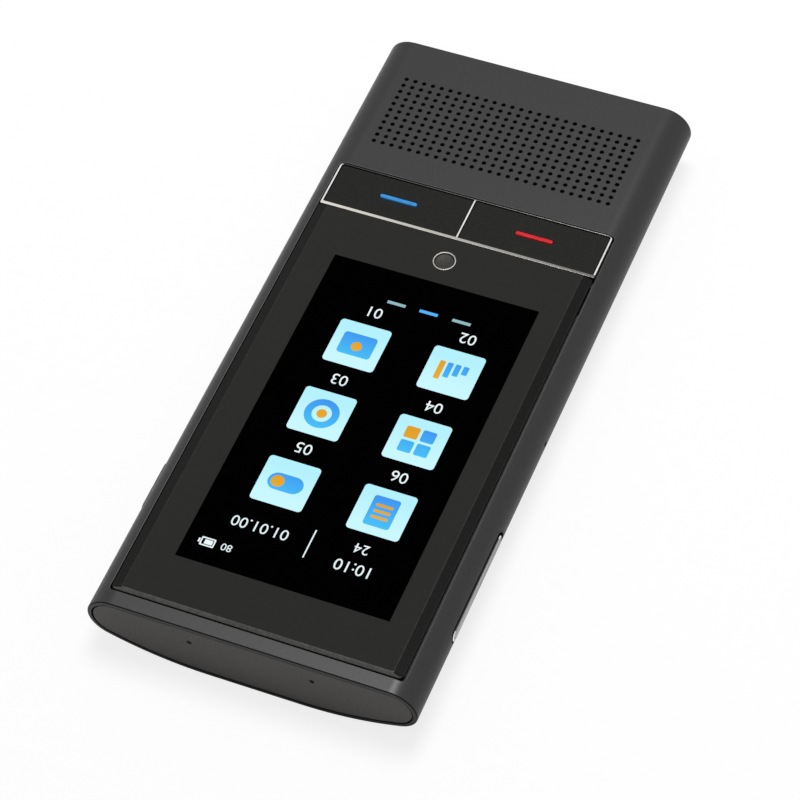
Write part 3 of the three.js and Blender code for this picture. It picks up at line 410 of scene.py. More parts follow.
def sleeve_faces():
    tall = SIDE_SLOT_HEIGHT / 2 + SLOT_GAP
    rises = [((tall + RIM_BEVEL) * math.sin(turn), tall * math.sin(turn))
             for turn in spaced(-math.pi / 2, math.pi / 2, SLOT_STEPS)]
    corner_x = glass_high.x + OPENING_GAP - OPENING_RADIUS
    opening_xs = [[corner_x + (OPENING_RADIUS + bevel) * math.cos(turn) for bevel in (RIM_BEVEL, 0)]
                  for turn in spaced(0, math.pi / 2, CORNER_STEPS)]
    right, slot_first, opening_first = half_stations(rises, opening_xs)
    stations = right + [station.mirrored() for station in reversed(right)]
    count = len(stations)
    flat = len(right) - 1
    opening = opening_hole(right, opening_first)
    opening |= flipped(opening, count)
    slots = [slot_hole(slot_first, POWER_BAR), flipped(slot_hole(slot_first, VOLUME_BAR), count)]
    middle = count - 1 - slot_first - SLOT_STEPS // 2
    pin_rise = rises[SLOT_STEPS // 2 + PIN_ROWS][0]
    pin = {k: ((reset_y - pin_rise,) * 2, (reset_y + pin_rise,) * 2)
           for k in range(middle - PIN_ROWS, middle + PIN_ROWS + 1)}
    holes = slots + [opening, pin]

    starts = (sleeve_low.y + SLEEVE_END_BEVEL, sleeve_low.y + CAP_SEAT_DEPTH)
    ends = (sleeve_high.y - SLEEVE_END_BEVEL, sleeve_high.y - CAP_SEAT_DEPTH)
    faces, patch_marks = grille_patch(starts, opening[flat][0])
    mid_wall = body_top - SLEEVE_WALL / 2
    facings = {key_of(point): Vector((0, 0, math.copysign(1, point.z - mid_wall)))
               for face in faces for point in face if abs(point.z - mid_wall) > SLEEVE_WALL * 0.49}
    pin_faces, pin_marks = pinhole(stations, pin)
    faces += pin_faces
    for k, station in enumerate(stations):
        marks = {starts, ends}
        for hole in holes:
            marks |= set(hole.get(k, ())[:2])
        if k in (flat, flat + 1):
            marks |= {(mark, mark) for mark in patch_marks}
        if k in (min(pin), max(pin)):
            marks |= pin_marks
        station.marks = sorted(marks)

    for k, station in enumerate(stations):
        there = (k + 1) % count
        beside = stations[there]
        cuts = sorted(list(zip(hole[k], hole[there]))[:2] for hole in holes if k in hole and there in hole)
        lows = [(starts, starts)] + [high for _, high in cuts]
        highs = [low for low, _ in cuts] + [(ends, ends)]
        spans = list(zip(lows, highs))
        for low, high in spans[1:] if k == flat else spans:
            run = [mark for mark in station.marks if low[0] <= mark <= high[0]]
            back = [mark for mark in reversed(beside.marks) if low[1] <= mark <= high[1]]
            for layer in (0, 1):
                faces.append([station.point(layer, mark[layer]) for mark in run]
                             + [beside.point(layer, mark[layer]) for mark in back])
        for mark in station.marks:
            for layer in (0, 1):
                facings[key_of(station.point(layer, mark[layer]))] = station.facing(layer)

    for hole in slots + [opening]:
        faces += rim_faces(stations, hole)

    for sign, end in ((-1, sleeve_low.y), (1, sleeve_high.y)):
        loops = []
        for turn in spaced(0, math.pi / 2, BEVEL_STEPS):
            inset = SLEEVE_END_BEVEL * (1 - math.cos(turn))
            y = end - sign * SLEEVE_END_BEVEL * (1 - math.sin(turn))
            loops.append([station.point(0, y, inset) for station in stations])
            for point, station in zip(loops[-1], stations):
                facings[key_of(point)] = (station.facing() * math.cos(turn)
                                          + Vector((0, sign * math.sin(turn), 0)))
        seat = end - sign * CAP_SEAT_DEPTH
        loops += [[station.point(0, y, CAP_SEAT_WALL) for station in stations] for y in (end, seat)]
        for point, station in zip(loops[-2] + loops[-1], stations * 2):
            facings[key_of(point)] = -station.facing()
        loops.append([station.point(1, seat) for station in stations])
        faces += skinned(loops)
    return faces, facings


def make_piece(name, parts, finishes, body, nodes=(), pick=None):
    """A mesh of closed parts, each of faces that meet at equal corners and the corners' facings.

    It rides on a body of the frame. Where a corner's facing is far from that of its face, as at
    a sharp edge, the face is shaded flat."""
    faces = [face for part in parts for face in part[0]]
    facings = {key: facing for part in parts for key, facing in part[1].items()}
    shell = bmesh.new()
    corners = {}
    for face in faces:
        ring = []
        for point in face:
            key = key_of(point)
            if key not in corners:
                corners[key] = shell.verts.new(Vector(point) / METRE)
            if corners[key] not in ring:
                ring.append(corners[key])
        if len(ring) > 2:
            shell.faces.new(ring)
    bmesh.ops.recalc_face_normals(shell, faces=shell.faces)
    for face in shell.faces:
        face.smooth = True
        if pick:
            face.material_index = pick(face.calc_center_median() * METRE, face.normal)
    mesh = bpy.data.meshes.new(name)
    shell.to_mesh(mesh)
    shell.free()
    for material in finishes:
        mesh.materials.append(material)
    piece = add_object(name, mesh)
    by_index = [facings.get(key) for key in corners]
    normals = []
    for polygon in mesh.polygons:
        for index in polygon.vertices:
            wanted = by_index[index]
            close = wanted is not None and wanted.dot(polygon.normal) > CREASE
            normals.append(tuple(wanted if close else polygon.normal))
    mesh.normals_split_custom_set(normals)
    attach(piece, body)
    if nodes:
        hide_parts(*nodes)


def sleeve_finish(centre, normal):
    """1 for the rounded ends, painted near black as painted shade, 2 for the rim of the front opening,
    painted light as painted highlight, 0 elsewhere.
    """
    if abs(centre.y) > sleeve_high.y - SLEEVE_END_BEVEL and 0.35 < abs(normal.y) < 0.97:
        return 1
    beside = abs(centre.x) < glass_high.x + OPENING_GAP + RIM_BEVEL
    along = bezel_low.y - OPENING_FAR_GAP - RIM_BEVEL < centre.y < glass_high.y + 1
    return 2 if beside and along and centre.z > side_level and 0.3 < normal.z < 0.9 else 0


# Blasting grit of about 0.1 mm is drawn at 0.3 mm so that it shows. Dyed metal gives a broad
# satin sheen. The clear oxide over it brightens towards the outline.
dyed_skin = grained("anodised_aluminium", "#1F1F1F", "#2B2B2B", 0.3, 0.004, contrast=1.0,
                    Metallic=0.5, Roughness=0.45, Specular_IOR_Level=0.0,
                    Specular_Tint=(0.25, 0.25, 0.25, 1.0), Coat_Weight=0.6, Coat_Roughness=0.3)
# The rounded ends of the sleeve are cut after blasting and smoother; their near-black colour is
# painted shade, a thin dark line where the sleeve meets the cap.
painted_shade_edge = grained("painted_shade_cut_edge", "#0D0D0D", "#131313", 0.3, 0.001, Metallic=0.2, Roughness=0.4,
                     Specular_IOR_Level=0.1)
# The rim of the front opening is broken with a fine mill; its thin lighter line is painted highlight.
rim_painted_highlight = grained("rim_painted_highlight", "#48484B", "#525255", 0.3, 0.001, Metallic=0.1, Roughness=0.45)
make_piece("sleeve", [sleeve_faces()], [dyed_skin, painted_shade_edge, rim_painted_highlight], "housing",
           ["housing_sleeve"], pick=sleeve_finish)


# Chassis
# The black moulding inside the sleeve that everything is mounted on, glass-filled nylon straight
# from the mould, with the dull swirl that the fibres leave. It slides in from one end.
def dress(material, *names):
    """Gives frame nodes that keep their own mesh a finish."""
    for name in names:
        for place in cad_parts[name].material_slots:
            place.material = material


# Short glass fibres of about 0.3 mm show as a cloudy grain in the dull black.
dress(grained("glass_filled_nylon", "#202123", "#303133", 0.8, 0.006, Roughness=0.62), "chassis")


# Speaker
# A pressed film cone in a black moulded frame with a steel-cupped magnet below it, sealed to the
# sleeve by a foam gasket, with a woven cloth glued under the grille against dust.
def opened(material):
    """The node tree of a finish, its shader and the place on the object that it is drawn at."""
    tree = material.node_tree
    return tree, tree.nodes["Principled BSDF"], tree.nodes["Texture Coordinate"].outputs["Object"]


def woven_cloth():
    # Plain woven polyester, threads 0.15 mm apart drawn at 0.3 mm: a dull, faintly checked black.
    thread = 0.3
    waves_per_unit = 20
    material = grained("woven_cloth", "#101010", "#181818", thread, 0.01, Roughness=0.8)
    tree, shader, place = opened(material)
    threads = [add_node(tree, "ShaderNodeTexWave", {
        "Vector": place,
        "Scale": METRE / thread / waves_per_unit,
    }, bands_direction=axis).outputs["Fac"] for axis in ("X", "Y")]
    weave = add_node(tree, "ShaderNodeMath", {0: threads[0], 1: threads[1]}, operation="MAXIMUM")
    bump = add_node(tree, "ShaderNodeBump", {"Height": weave.outputs[0], "Distance": 0.02 / METRE})
    tree.links.new(bump.outputs["Normal"], shader.inputs["Normal"])
    return material


# Heat-proof nylon, black and slightly shiny where the mould was polished.
black_nylon = grained("connector_nylon", "#161617", "#1F1F20", 0.3, 0.001, Roughness=0.4)
# Plated sheet: a bright grey metal with faint rolling marks about 0.5 mm apart.
bright_tin = grained("tin_plated_steel", "#B2B3B4", "#C6C7C8", 0.5, 0.001, stretch=(1, 6, 1),
                     Metallic=1.0, Roughness=0.3)
# Closed-cell foam: matt black, with cells of 0.2 mm drawn at 0.4 mm.
black_foam = grained("closed_foam", "#111111", "#1B1B1B", 0.4, 0.05, contrast=0.8, Roughness=0.85)
dress(black_nylon, "speaker_frame")
dress(bright_tin, "speaker_magnet")
dress(black_foam, "speaker_gasket")
dress(woven_cloth(), "speaker_cloth")
# Thermoformed film: matt dark grey with the faint wrinkle of the pressing, 1.5 mm long.
dress(grained("pressed_film", "#313134", "#3F3F42", 1.5, 0.02, Roughness=0.55), "speaker_cone")


# Battery
# A flat lithium pouch of laminated foil, held to the chassis by double-sided tape and joined to
# the main board by an amber flex.

# Nylon-coated aluminium foil, pressed over the cell: silver grey, satin, with soft dents.
dress(grained("foil_laminate", "#8E9094", "#A5A7AA", 4.0, 0.05, Metallic=0.85, Roughness=0.36),
      "battery")
# Cream tissue tape with short fibres of about 1 mm.
dress(grained("paper_tape", "#DDD8C6", "#EDE9DB", 1.0, 0.01, Roughness=0.8), "battery_tape")
# Amber film over copper tracks 0.5 mm wide, which show as lighter stripes along it.
amber_film = grained("polyimide_film", "#7A4B1A", "#A06A2C", 0.5, 0.002, contrast=0.6,
                     stretch=(1, 30, 1), Roughness=0.25)
dress(amber_film, "battery_lead")


# Main board
# Glass-epoxy board below the keys, screwed to the chassis at its corners, with the processor and
# the radio under shield cans and a copper antenna foil on the far end of the chassis.
def solder_mask():
    # Green lacquer over copper. Tracks of 0.15 mm are drawn 0.4 mm wide, a shade lighter.
    material = grained("solder_mask", "#17402F", "#1F4E3A", 0.6, 0.001, Roughness=0.3)
    tree, shader, place = opened(material)
    tracks = add_node(tree, "ShaderNodeTexBrick", {
        "Vector": place,
        "Color1": colour("#1B4634"),
        "Color2": colour("#1E4C39"),
        "Mortar": colour("#2F6B4F"),
        "Scale": METRE / 8,
        "Mortar Size": 0.02,
        "Brick Width": 0.9,
        "Row Height": 0.16,
    })
    tree.links.new(tracks.outputs["Color"], shader.inputs["Base Color"])
    return material


green_board = solder_mask()
dress(green_board, "main_board")
dress(bright_tin, "processor_shield", "radio_shield")
# Turned steel with a bluish zinc skin and fine rings of the tool, 0.2 mm apart.
dress(grained("zinc_plate", "#A9AEB4", "#C0C5CA", 0.2, 0.002, Metallic=1.0, Roughness=0.32),
      *[f"board_screw_{number}" for number in (1, 2, 3, 4)])
# Bare rolled copper, dulled in patches a few millimetres wide.
dress(grained("rolled_copper", "#A8683A", "#C98B57", 2.5, 0.003, Metallic=1.0, Roughness=0.34),
      "antenna_foil")


# USB-C socket
# A drawn steel shell, tin plated, soldered to the far edge of the main board, and a black tongue
# inside it with a row of gold contacts on each face.
SOCKET_WALL = 0.35
SOCKET_EDGE = 0.08
SOCKET_BACK_INSET = 0.1
TONGUE_CORNER = 0.2
TONGUE_EDGE = 0.1
CONTACT_COUNT = 12
CONTACT_PITCH = 0.5
CONTACT_HALF = (0.125, 0.03)
CONTACT_CORNER = 0.02
CONTACT_RISE = 0.02
CONTACT_SPAN = (4.0, 0.4)


def disc(u, v, radius, sides=32):
    """A circle as an outline: a function that gives its points when grown by so much."""
    def outline(grow):
        return circle(u, v, radius + grow, sides)
    return outline


def rounded(low_u, high_u, low_v, high_v, radii, steps):
    """Rectangle with a radius at each corner: low-low, high-low, high-high, low-high."""
    corners = [(low_u, low_v), (high_u, low_v), (high_u, high_v), (low_u, high_v)]
    loop = []
    for index, ((u, v), radius) in enumerate(zip(corners, radii)):
        radius = max(radius, 0.01)
        centre_u = u + radius if u == low_u else u - radius
        centre_v = v + radius if v == low_v else v - radius
        for i in range(steps + 1):
            turn = math.pi * (1 + index / 2) + math.pi / 2 * i / steps
            loop.append((centre_u + radius * math.cos(turn), centre_v + radius * math.sin(turn)))
    return loop


def grown(low_u, high_u, low_v, high_v, radii, steps=8):
    """A rounded rectangle as an outline."""
    def outline(grow):
        return rounded(low_u - grow, high_u + grow, low_v - grow, high_v + grow,
                       [radius + grow if radius else 0 for radius in radii], steps)
    return outline


def centred(u, v, half_u, half_v, radius=0.2, steps=5):
    return grown(u - half_u, u + half_u, v - half_v, v + half_v, [radius] * 4, steps)


def widened(outline, extra):
    """The same outline, grown by so much to begin with."""
    def wider(grow):
        return outline(grow + extra)
    return wider


def upright(u, v, w):
    return Vector((u, v, w))


def facing_near(u, v, w):
    return Vector((u, w, v))


def facing_far(u, v, w):
    return Vector((u, -w, v))


def flat_faces(loops, level, place):
    """Faces that fill an outline, less the loops inside it."""
    if len(loops) == 1:
        return [[place(u, v, level) for u, v in loops[0]]]
    points = [p for loop in loops for p in loop]
    flat = [[Vector((u, v, 0)) for u, v in loop] for loop in loops]
    return [[place(*points[i], level) for i in triple] for triple in tessellate_polygon(flat)]


def outward(loop):
    """Direction away from the inside of a loop that runs anticlockwise, at each of its points."""
    directions = []
    for (a, b), (c, d) in zip(loop[-1:] + loop[:-1], loop[1:] + loop[:1]):
        length = math.hypot(c - a, d - b)
        directions.append(((d - b) / length, (a - c) / length))
    return directions


def plate(outline, low, high, holes=(), edge=0.0, place=upright, steps=4):
    """A closed plate between two levels, with its upper edges rounded: faces and facings."""
    levels = [(low, 0.0, 0.0)]
    for turn in spaced(0, math.pi / 2, steps) if edge else [0.0]:
        rise = edge * (1 - math.sin(turn))
        levels.append((high - rise, edge * (1 - math.cos(turn)), turn))
    faces = []
    facings = {}
    for loop, sign in [(outline, 1)] + [(hole, -1) for hole in holes]:
        rings = []
        for level, inset, turn in levels:
            points = loop(-sign * inset)
            rings.append([place(u, v, level) for u, v in points])
            for corner, (u, v) in zip(rings[-1], outward(points)):
                flat = sign * math.cos(turn)
                facings[key_of(corner)] = place(u * flat, v * flat, math.sin(turn))
        faces += skinned(rings)
    for level, inset, _ in (levels[0], levels[-1]):
        faces += flat_faces([outline(-inset)] + [hole(inset) for hole in holes], level, place)
    return faces, facings


# Flash gold over nickel, 0.25 mm wide on a pitch of 0.5 mm.
flash_gold = grained("flash_gold", "#D9A441", "#E8BE63", 0.2, 0.0005, Metallic=1.0, Roughness=0.25)
socket_low, socket_high = box_mm("usb_socket")
socket_tall = (socket_high.z - socket_low.z) / 2
socket_outline = grown(socket_low.x, socket_high.x, socket_low.z, socket_high.z, [socket_tall] * 4, 12)
socket_parts = [
    plate(socket_outline, -socket_high.y, -socket_low.y, [widened(socket_outline, -SOCKET_WALL)],
          edge=SOCKET_EDGE, place=facing_far),
    plate(widened(socket_outline, -SOCKET_BACK_INSET), -socket_high.y,
          -socket_high.y + SOCKET_WALL, place=facing_far),
]
make_piece("socket_shell", socket_parts, [bright_tin], "housing", ["usb_socket"])
tongue_low, tongue_high = box_mm("usb_tongue")
tongue_outline = grown(tongue_low.x, tongue_high.x, tongue_low.z, tongue_high.z,
                       [TONGUE_CORNER] * 4)
tongue_part = plate(tongue_outline, -tongue_high.y, -tongue_low.y, edge=TONGUE_EDGE,
                    place=facing_far)
make_piece("socket_tongue", [tongue_part], [black_nylon], "housing", ["usb_tongue"])
contact_parts = []
for z in (tongue_low.z - CONTACT_RISE, tongue_high.z + CONTACT_RISE):
    for i in range(CONTACT_COUNT):
        x = (i - (CONTACT_COUNT - 1) / 2) * CONTACT_PITCH
        contact_parts.append(plate(centred(x, z, *CONTACT_HALF, CONTACT_CORNER, 2),
                                   *[-tongue_low.y - back for back in CONTACT_SPAN],
                                   place=facing_far))
make_piece("socket_contacts", contact_parts, [flash_gold], "housing")


# Key board
# A small board under the keys with a dome switch and a steel plunger for each of them, and two
# white lamps that light the bars.

# Nickel over brass: warm grey metal with drawing marks along its height.
nickel = grained("nickel_plate", "#9C9A93", "#B4B2AA", 0.3, 0.001, stretch=(1, 1, 5), Metallic=1.0,
                 Roughness=0.28)
dress(green_board, "key_board")
# Milky epoxy over a lamp chip: warm white, slightly clouded.
dress(grained("lamp_resin", "#E6E2D0", "#F4F1E4", 0.4, 0.001, Roughness=0.3),
      "blue_key_light", "red_key_light")
dress(black_nylon, "blue_key_switch", "red_key_switch", "home_switch")
dress(nickel, "blue_key_plunger", "red_key_plunger", "home_plunger")


# Side boards
# Narrow boards stand on edge inside each side of the sleeve, with a switch and a plunger behind
# each end of the volume key, behind the reset hole and behind the power key.
dress(green_board, "volume_board", "power_board")
dress(black_nylon, "volume_up_switch", "volume_down_switch", "reset_switch", "power_switch")
dress(nickel, "volume_up_plunger", "volume_down_plunger", "reset_plunger", "power_plunger")


# Microphone board
# A strip of board behind the near cap. Each microphone can sits on its back and hears through a
# bore and a soft rubber boot.
dress(green_board, "mic_board")
dress(nickel, "mic_capsule_left", "mic_capsule_right")
# Moulded silicone: matt charcoal with a dusty bloom in patches of 1 mm.
dress(grained("silicone_rubber", "#1A1A1B", "#262627", 1.0, 0.004, Roughness=0.7),
      "mic_boot_left", "mic_boot_right")


# Display panel
# The LCD, its backlight in a tin tray and its amber flex, glued under the glass by foam tape.
dress(bright_tin, "display_backlight")
dress(amber_film, "display_flex")
dress(black_foam, "glass_adhesive")
# Polariser film over the switched-off cell: glossy black with a faint violet cast.
dress(grained("polariser", "#060608", "#0A0A0D", 5.0, 0.001, Roughness=0.12), "display_panel")


# End caps
# Flat plates of warm grey ABS pressed into both ends of the sleeve, each with two pegs that hold
# it to the chassis. The near one has two pinholes for the microphones, the far one the port.
CAP_GAP = 0.22
CAP_DROP = 0.08
CAP_THICKNESS = 2.0
CAP_EDGE = 0.12
CAP_PEG_X = 21.5
CAP_PEG_RADIUS = 1.0
CAP_PEG_LENGTH = 3.0
PART_LINE = 0.01
MIC_HOLE_X = 10.65
MIC_HOLE_HEIGHT = 8.1
MIC_HOLE_RADIUS = 0.425
PORT_GAP = 0.15


def section_loop(inset):
    """The body's section moved inwards, as a closed loop of points in X and Z."""
    half = [on_back(turn, inset)[0] for turn in spaced(0, back_turn, BACK_STEPS)]
    for turns in (spaced(back_turn - math.pi / 2, 0, 16), spaced(0, math.pi / 2, 18)):
        half += [on_side(turn, inset)[0] for turn in turns[1:]]
    return half + [(-x, z) for x, z in reversed(half)]


def cap_parts(face, place, holes):
    def outline(grow):
        return [(x, z - CAP_DROP) for x, z in section_loop(CAP_SEAT_WALL + CAP_GAP - grow)]

    back = face - CAP_THICKNESS
    pegs = [plate(disc(side * CAP_PEG_X, side_level, CAP_PEG_RADIUS), back - CAP_PEG_LENGTH,
                  back - PART_LINE, place=place) for side in (-1, 1)]
    return [plate(outline, back, face, holes, edge=CAP_EDGE, place=place)] + pegs


# Spark-eroded mould texture of about 0.15 mm, drawn at 0.35 mm. It scatters light softly.
moulded_abs = grained("moulded_abs", "#4B4A48", "#555452", 0.35, 0.006, Roughness=0.5,
                      Specular_IOR_Level=0.12)
mic_holes = [disc(x, MIC_HOLE_HEIGHT, MIC_HOLE_RADIUS) for x in (-MIC_HOLE_X, MIC_HOLE_X)]
mic_cap = cap_parts(box_mm("mic_end_cap")[1].y, facing_near, mic_holes)
make_piece("microphone_cap", mic_cap, [moulded_abs], "housing", ["mic_end_cap"])
port_mouth = grown(socket_low.x - PORT_GAP, socket_high.x + PORT_GAP, socket_low.z - PORT_GAP,
                   socket_high.z + PORT_GAP, [socket_tall + PORT_GAP] * 4, 12)
port_cap = cap_parts(-box_mm("port_end_cap")[0].y, facing_far, [port_mouth])
make_piece("port_cap", port_cap, [moulded_abs], "housing", ["port_end_cap"])


# Cover glass
# One sheet of hardened glass, printed black on its back round the picture. Its long edges are
# ground to a shallow slope, the near edge to a short bevel, and a hole takes the home ring.
GLASS_SLOPE_WIDTH = 1.75
GLASS_SLOPE_DROP = 0.42
GLASS_BEVEL_WIDTH = 0.55
GLASS_BEVEL_DROP = 0.35
GLASS_CORNER_RADIUS = 0.9
GLASS_TOP_RADII = (0.3, 0.2, 0.15)
GLASS_SOFT_EDGE = 0.12
GLASS_SHIFT = 0.2
GLASS_BORE_EDGE = 0.06
GLASS_UPWARD = 0.5
GLASS_UPRIGHT = 0.2
GLASS_LEVEL = 0.9995
GLASS_SLOPE_TILTS = (0.96, 0.98)
BORE_SIDES = 64
RING_GAP = 0.07
RING_FOOT_WIDTH = 0.8
PICTURE_XS = (-19.18, 18.18)
PICTURE_YS = (-14.23, 52.17)

ring_low, ring_high = box_mm("home_ring")
home_y = (ring_low.y + ring_high.y) / 2
ring_radius = ring_high.x - RING_FOOT_WIDTH


def glass_faces():
    """The sheet from loops round it. Their pairs hold a value at the sides and at the near edge."""
    top = glass_high.z
    facings = {}

    def loop(insets, radius, levels, leans):
        points = []
        for side in (1, -1):
            for share in spaced(0, 1, 8)[::side]:
                turn = math.pi / 2 * share
                across, along = math.cos(turn), math.sin(turn)
                lean = leans[0] + (leans[1] - leans[0]) * share
                x = glass_high.x - insets[0] - radius + radius * across
                y = glass_high.y - insets[1] - radius + radius * along
                points.append(Vector((GLASS_SHIFT + side * x, y,
                                      levels[0] + (levels[1] - levels[0]) * share)))
                facings[key_of(points[-1])] = Vector((side * across * math.sin(lean),
                                                      along * math.sin(lean), math.cos(lean)))
        for side in (-1, 1):
            points.append(Vector((GLASS_SHIFT + side * (glass_high.x - insets[0]), glass_low.y,
                                  levels[0])))
            facings[key_of(points[-1])] = Vector((side * math.sin(leans[0]), 0, math.cos(leans[0])))
        return points

    soft = GLASS_SOFT_EDGE
    start = soft * 0.3
    wall = math.pi / 2
    widths = (GLASS_SLOPE_WIDTH, GLASS_BEVEL_WIDTH)
    edges = (top - GLASS_SLOPE_DROP, top - GLASS_BEVEL_DROP)
    slopes = (GLASS_SLOPE_DROP / GLASS_SLOPE_WIDTH, GLASS_BEVEL_DROP / GLASS_BEVEL_WIDTH)
    leans = [math.atan(slope) for slope in slopes]
    corner = GLASS_CORNER_RADIUS
    loops = [
        loop((0, 0), corner, (glass_low.z, glass_low.z), (wall, wall)),
        loop((0, 0), corner, [edge - soft for edge in edges], (wall, wall)),
        loop((start, start), corner, [edge - start for edge in edges], (wall / 2, wall / 2)),
        loop((soft, soft), corner, [edge + soft * slope for edge, slope in zip(edges, slopes)], leans),
        loop([width - soft for width in widths], GLASS_TOP_RADII[0],
             [top - soft * slope for slope in slopes], leans),
        loop(widths, GLASS_TOP_RADII[1],
             [top - soft * slope / 4 for slope in slopes], [lean / 2 for lean in leans]),
        loop([width + soft for width in widths], GLASS_TOP_RADII[2], (top, top), (0, 0)),
    ]
    faces = skinned(loops)
    bore = circle(0, home_y, ring_radius + RING_GAP, BORE_SIDES)
    lip = circle(0, home_y, ring_radius + RING_GAP + GLASS_BORE_EDGE, BORE_SIDES)
    faces += skinned([[Vector((*p, level)) for p in points] for points, level in (
        (lip, top), (bore, top - GLASS_BORE_EDGE), (bore, glass_low.z),
    )])
    (left, right), (far, near) = PICTURE_XS, PICTURE_YS
    picture = [(left, far), (right, far), (right, near), (left, near)]
    faces += flat_faces([[tuple(p.xy) for p in loops[-1]], lip, picture], top, upright)
    faces.append([Vector((*p, top)) for p in picture])
    for point in picture + lip:
        facings[key_of((*point, top))] = Vector((0, 0, 1))
    faces += flat_faces([[tuple(p.xy) for p in loops[0]], bore], glass_low.z, upright)
    return faces, facings


def polished_glass(name, dark, light, rough=0.1, mirror=0.12):
    return grained(name, dark, light, 0.6, 0.0002, IOR=1.5, Roughness=rough,
                   Specular_IOR_Level=mirror)


def glass_finish(centre, normal):
    """0 for the border, 1 the picture, 2 the side slopes in painted shade, 3 their ridges and 4 the bevel
    in painted highlight.
    """
    inside = (PICTURE_XS[0] < centre.x < PICTURE_XS[1] and PICTURE_YS[0] < centre.y < PICTURE_YS[1])
    if inside and normal.z > GLASS_UPWARD:
        return 1
    if normal.z < GLASS_UPRIGHT or normal.z > GLASS_LEVEL:
        return 0
    along_side = abs(normal.x) > abs(normal.y)
    if along_side and GLASS_SLOPE_TILTS[0] < normal.z < GLASS_SLOPE_TILTS[1]:
        return 2
    return 3 if along_side else 4


make_piece("cover_glass", [glass_faces()], [
    # Black print under clear glass: deep and even, with the glass's own clean reflection.
    polished_glass("printed_glass", "#191917", "#1C1C1A", rough=0.08, mirror=0.17),
    # The picture's own area carries an anti-reflection film, so that its black stays black.
    polished_glass("filmed_glass", "#010101", "#020202", rough=0.08, mirror=0.0),
    # Ground and polished again. The slope is painted near black as painted shade; its ridges are a
    # light line and the near bevel a lighter grey, both painted highlight.
    polished_glass("ground_slope_painted_shade", "#0B0B0A", "#10100F"),
    polished_glass("ground_ridge_painted_highlight", "#282826", "#30302E", rough=0.4, mirror=0.03),
    polished_glass("ground_bevel_painted_highlight", "#464644", "#535350"),
], "housing", ["front_glass"], pick=glass_finish)


# Display picture
# What the lit panel shows through the glass: six pale tiles with plain signs, three page dashes,
# a clock and a battery. The light comes from the panel, so each colour glows as it is written.
# It is drawn as thin plates that lie on the glass, a few hundredths of a millimetre high.
PICTURE_STEP = 0.01
PICTURE_FILL = 0.8
TILE_XS = (7.0, -10.0)
TILE_YS = (2.8, 18.0, 33.1)
TILE_HALF = 4.6
TILE_CORNER = 0.65
TILE_PITCH = 15.15
TILE_SHADE_REACH = 0.65
SIGN_SIDES = 40
SIGN_BORE = 1.7
LABEL_DROP = 7.6
DASH_Y = -7.65
DASH_XS = (4.12, -1.72, -7.68)
DASH_HALF = (1.65, 0.3)
LABEL_HEIGHT = 2.2
FIGURES = [("10:10", -9.9, 44.7, 2.2), ("24", -9.7, 40.8, 1.9), ("01.01.00", 7.4, 42.5, 2.1),
           ("80", 10.9, 48.0, 1.4)]
RULE_AT = (-1.4, 42.75)
RULE_HALF = (0.12, 2.85)
BATTERY_AT = (14.2, 48.1)
LETTER_SIZE = 1.4


def lit_pixels(name, dark, light):
    # Pixels of 0.05 mm are too fine to show. Each row of tiles runs from a darker to a lighter
    # tone, from its lower to its upper edge.
    material = grained(name, "#020202", "#030303", 3.0, 0.0001, Roughness=0.2,
                       Specular_IOR_Level=0.05)
    tree, shader, place = opened(material)
    parts = add_node(tree, "ShaderNodeSeparateXYZ", {0: place})
    rows = add_node(tree, "ShaderNodeMath", {
        0: parts.outputs["Y"],
        1: METRE / TILE_PITCH,
        2: 0.5 - TILE_YS[0] / TILE_PITCH,
    }, operation="MULTIPLY_ADD")
    height = add_node(tree, "ShaderNodeMath", {0: rows.outputs[0]}, operation="FRACT")
    reach = TILE_HALF * TILE_SHADE_REACH / TILE_PITCH
    rise = add_node(tree, "ShaderNodeMapRange", {
        "Value": height.outputs[0],
        "From Min": 0.5 - reach,
        "From Max": 0.5 + reach,
    })
    glow = add_node(tree, "ShaderNodeMix", {
        "Factor": rise.outputs["Result"],
        6: colour(dark),
        7: colour(light),
    }, data_type="RGBA")
    tree.links.new(glow.outputs[2], shader.inputs["Emission Color"])
    shader.inputs["Emission Strength"].default_value = 1.0
    return material


def picture_plate(outline, layer=0, holes=()):
    """A thin closed plate on the glass: tiles in layer 0, signs in 1 and their accents in 2."""
    low = glass_high.z + PICTURE_STEP * (layer + 0.5)
    return plate(outline, low, low + PICTURE_STEP * PICTURE_FILL, holes)


def tile_signs(x, y):
    """Six plain signs, each as the outlines of its blue plates and of its golden ones, on a tile."""
    bars = [(-2.1, 0.9), (-0.7, 1.25), (0.7, 1.6)]
    quarters = [(-1.45, 1.45), (1.45, 1.45), (-1.45, -1.45)]
    return [
        ([centred(x, y, 3.0, 2.3, 0.6)], [disc(x, y + 0.3, 0.95, SIGN_SIDES)]),
        ([centred(x + dx, y - 1.9 + tall, 0.5, tall) for dx, tall in bars],
         [centred(x + 2.1, y + 0.05, 0.5, 1.95)]),
        ([disc(x, y, 3.0, SIGN_SIDES)], [disc(x, y, 0.9, SIGN_SIDES)]),
        ([centred(x + dx, y + dy, 1.2, 1.2, 0.35) for dx, dy in quarters],
         [centred(x + 1.45, y - 1.45, 1.2, 1.2, 0.35)]),
        ([centred(x, y, 3.1, 1.7, 1.69)], [disc(x + 1.4, y, 1.15, SIGN_SIDES)]),
        ([centred(x, y, 2.3, 3.0, 0.5)], [centred(x, y + dy, 1.5, 0.28) for dy in (1.2, 0, -1.2)]),
    ]


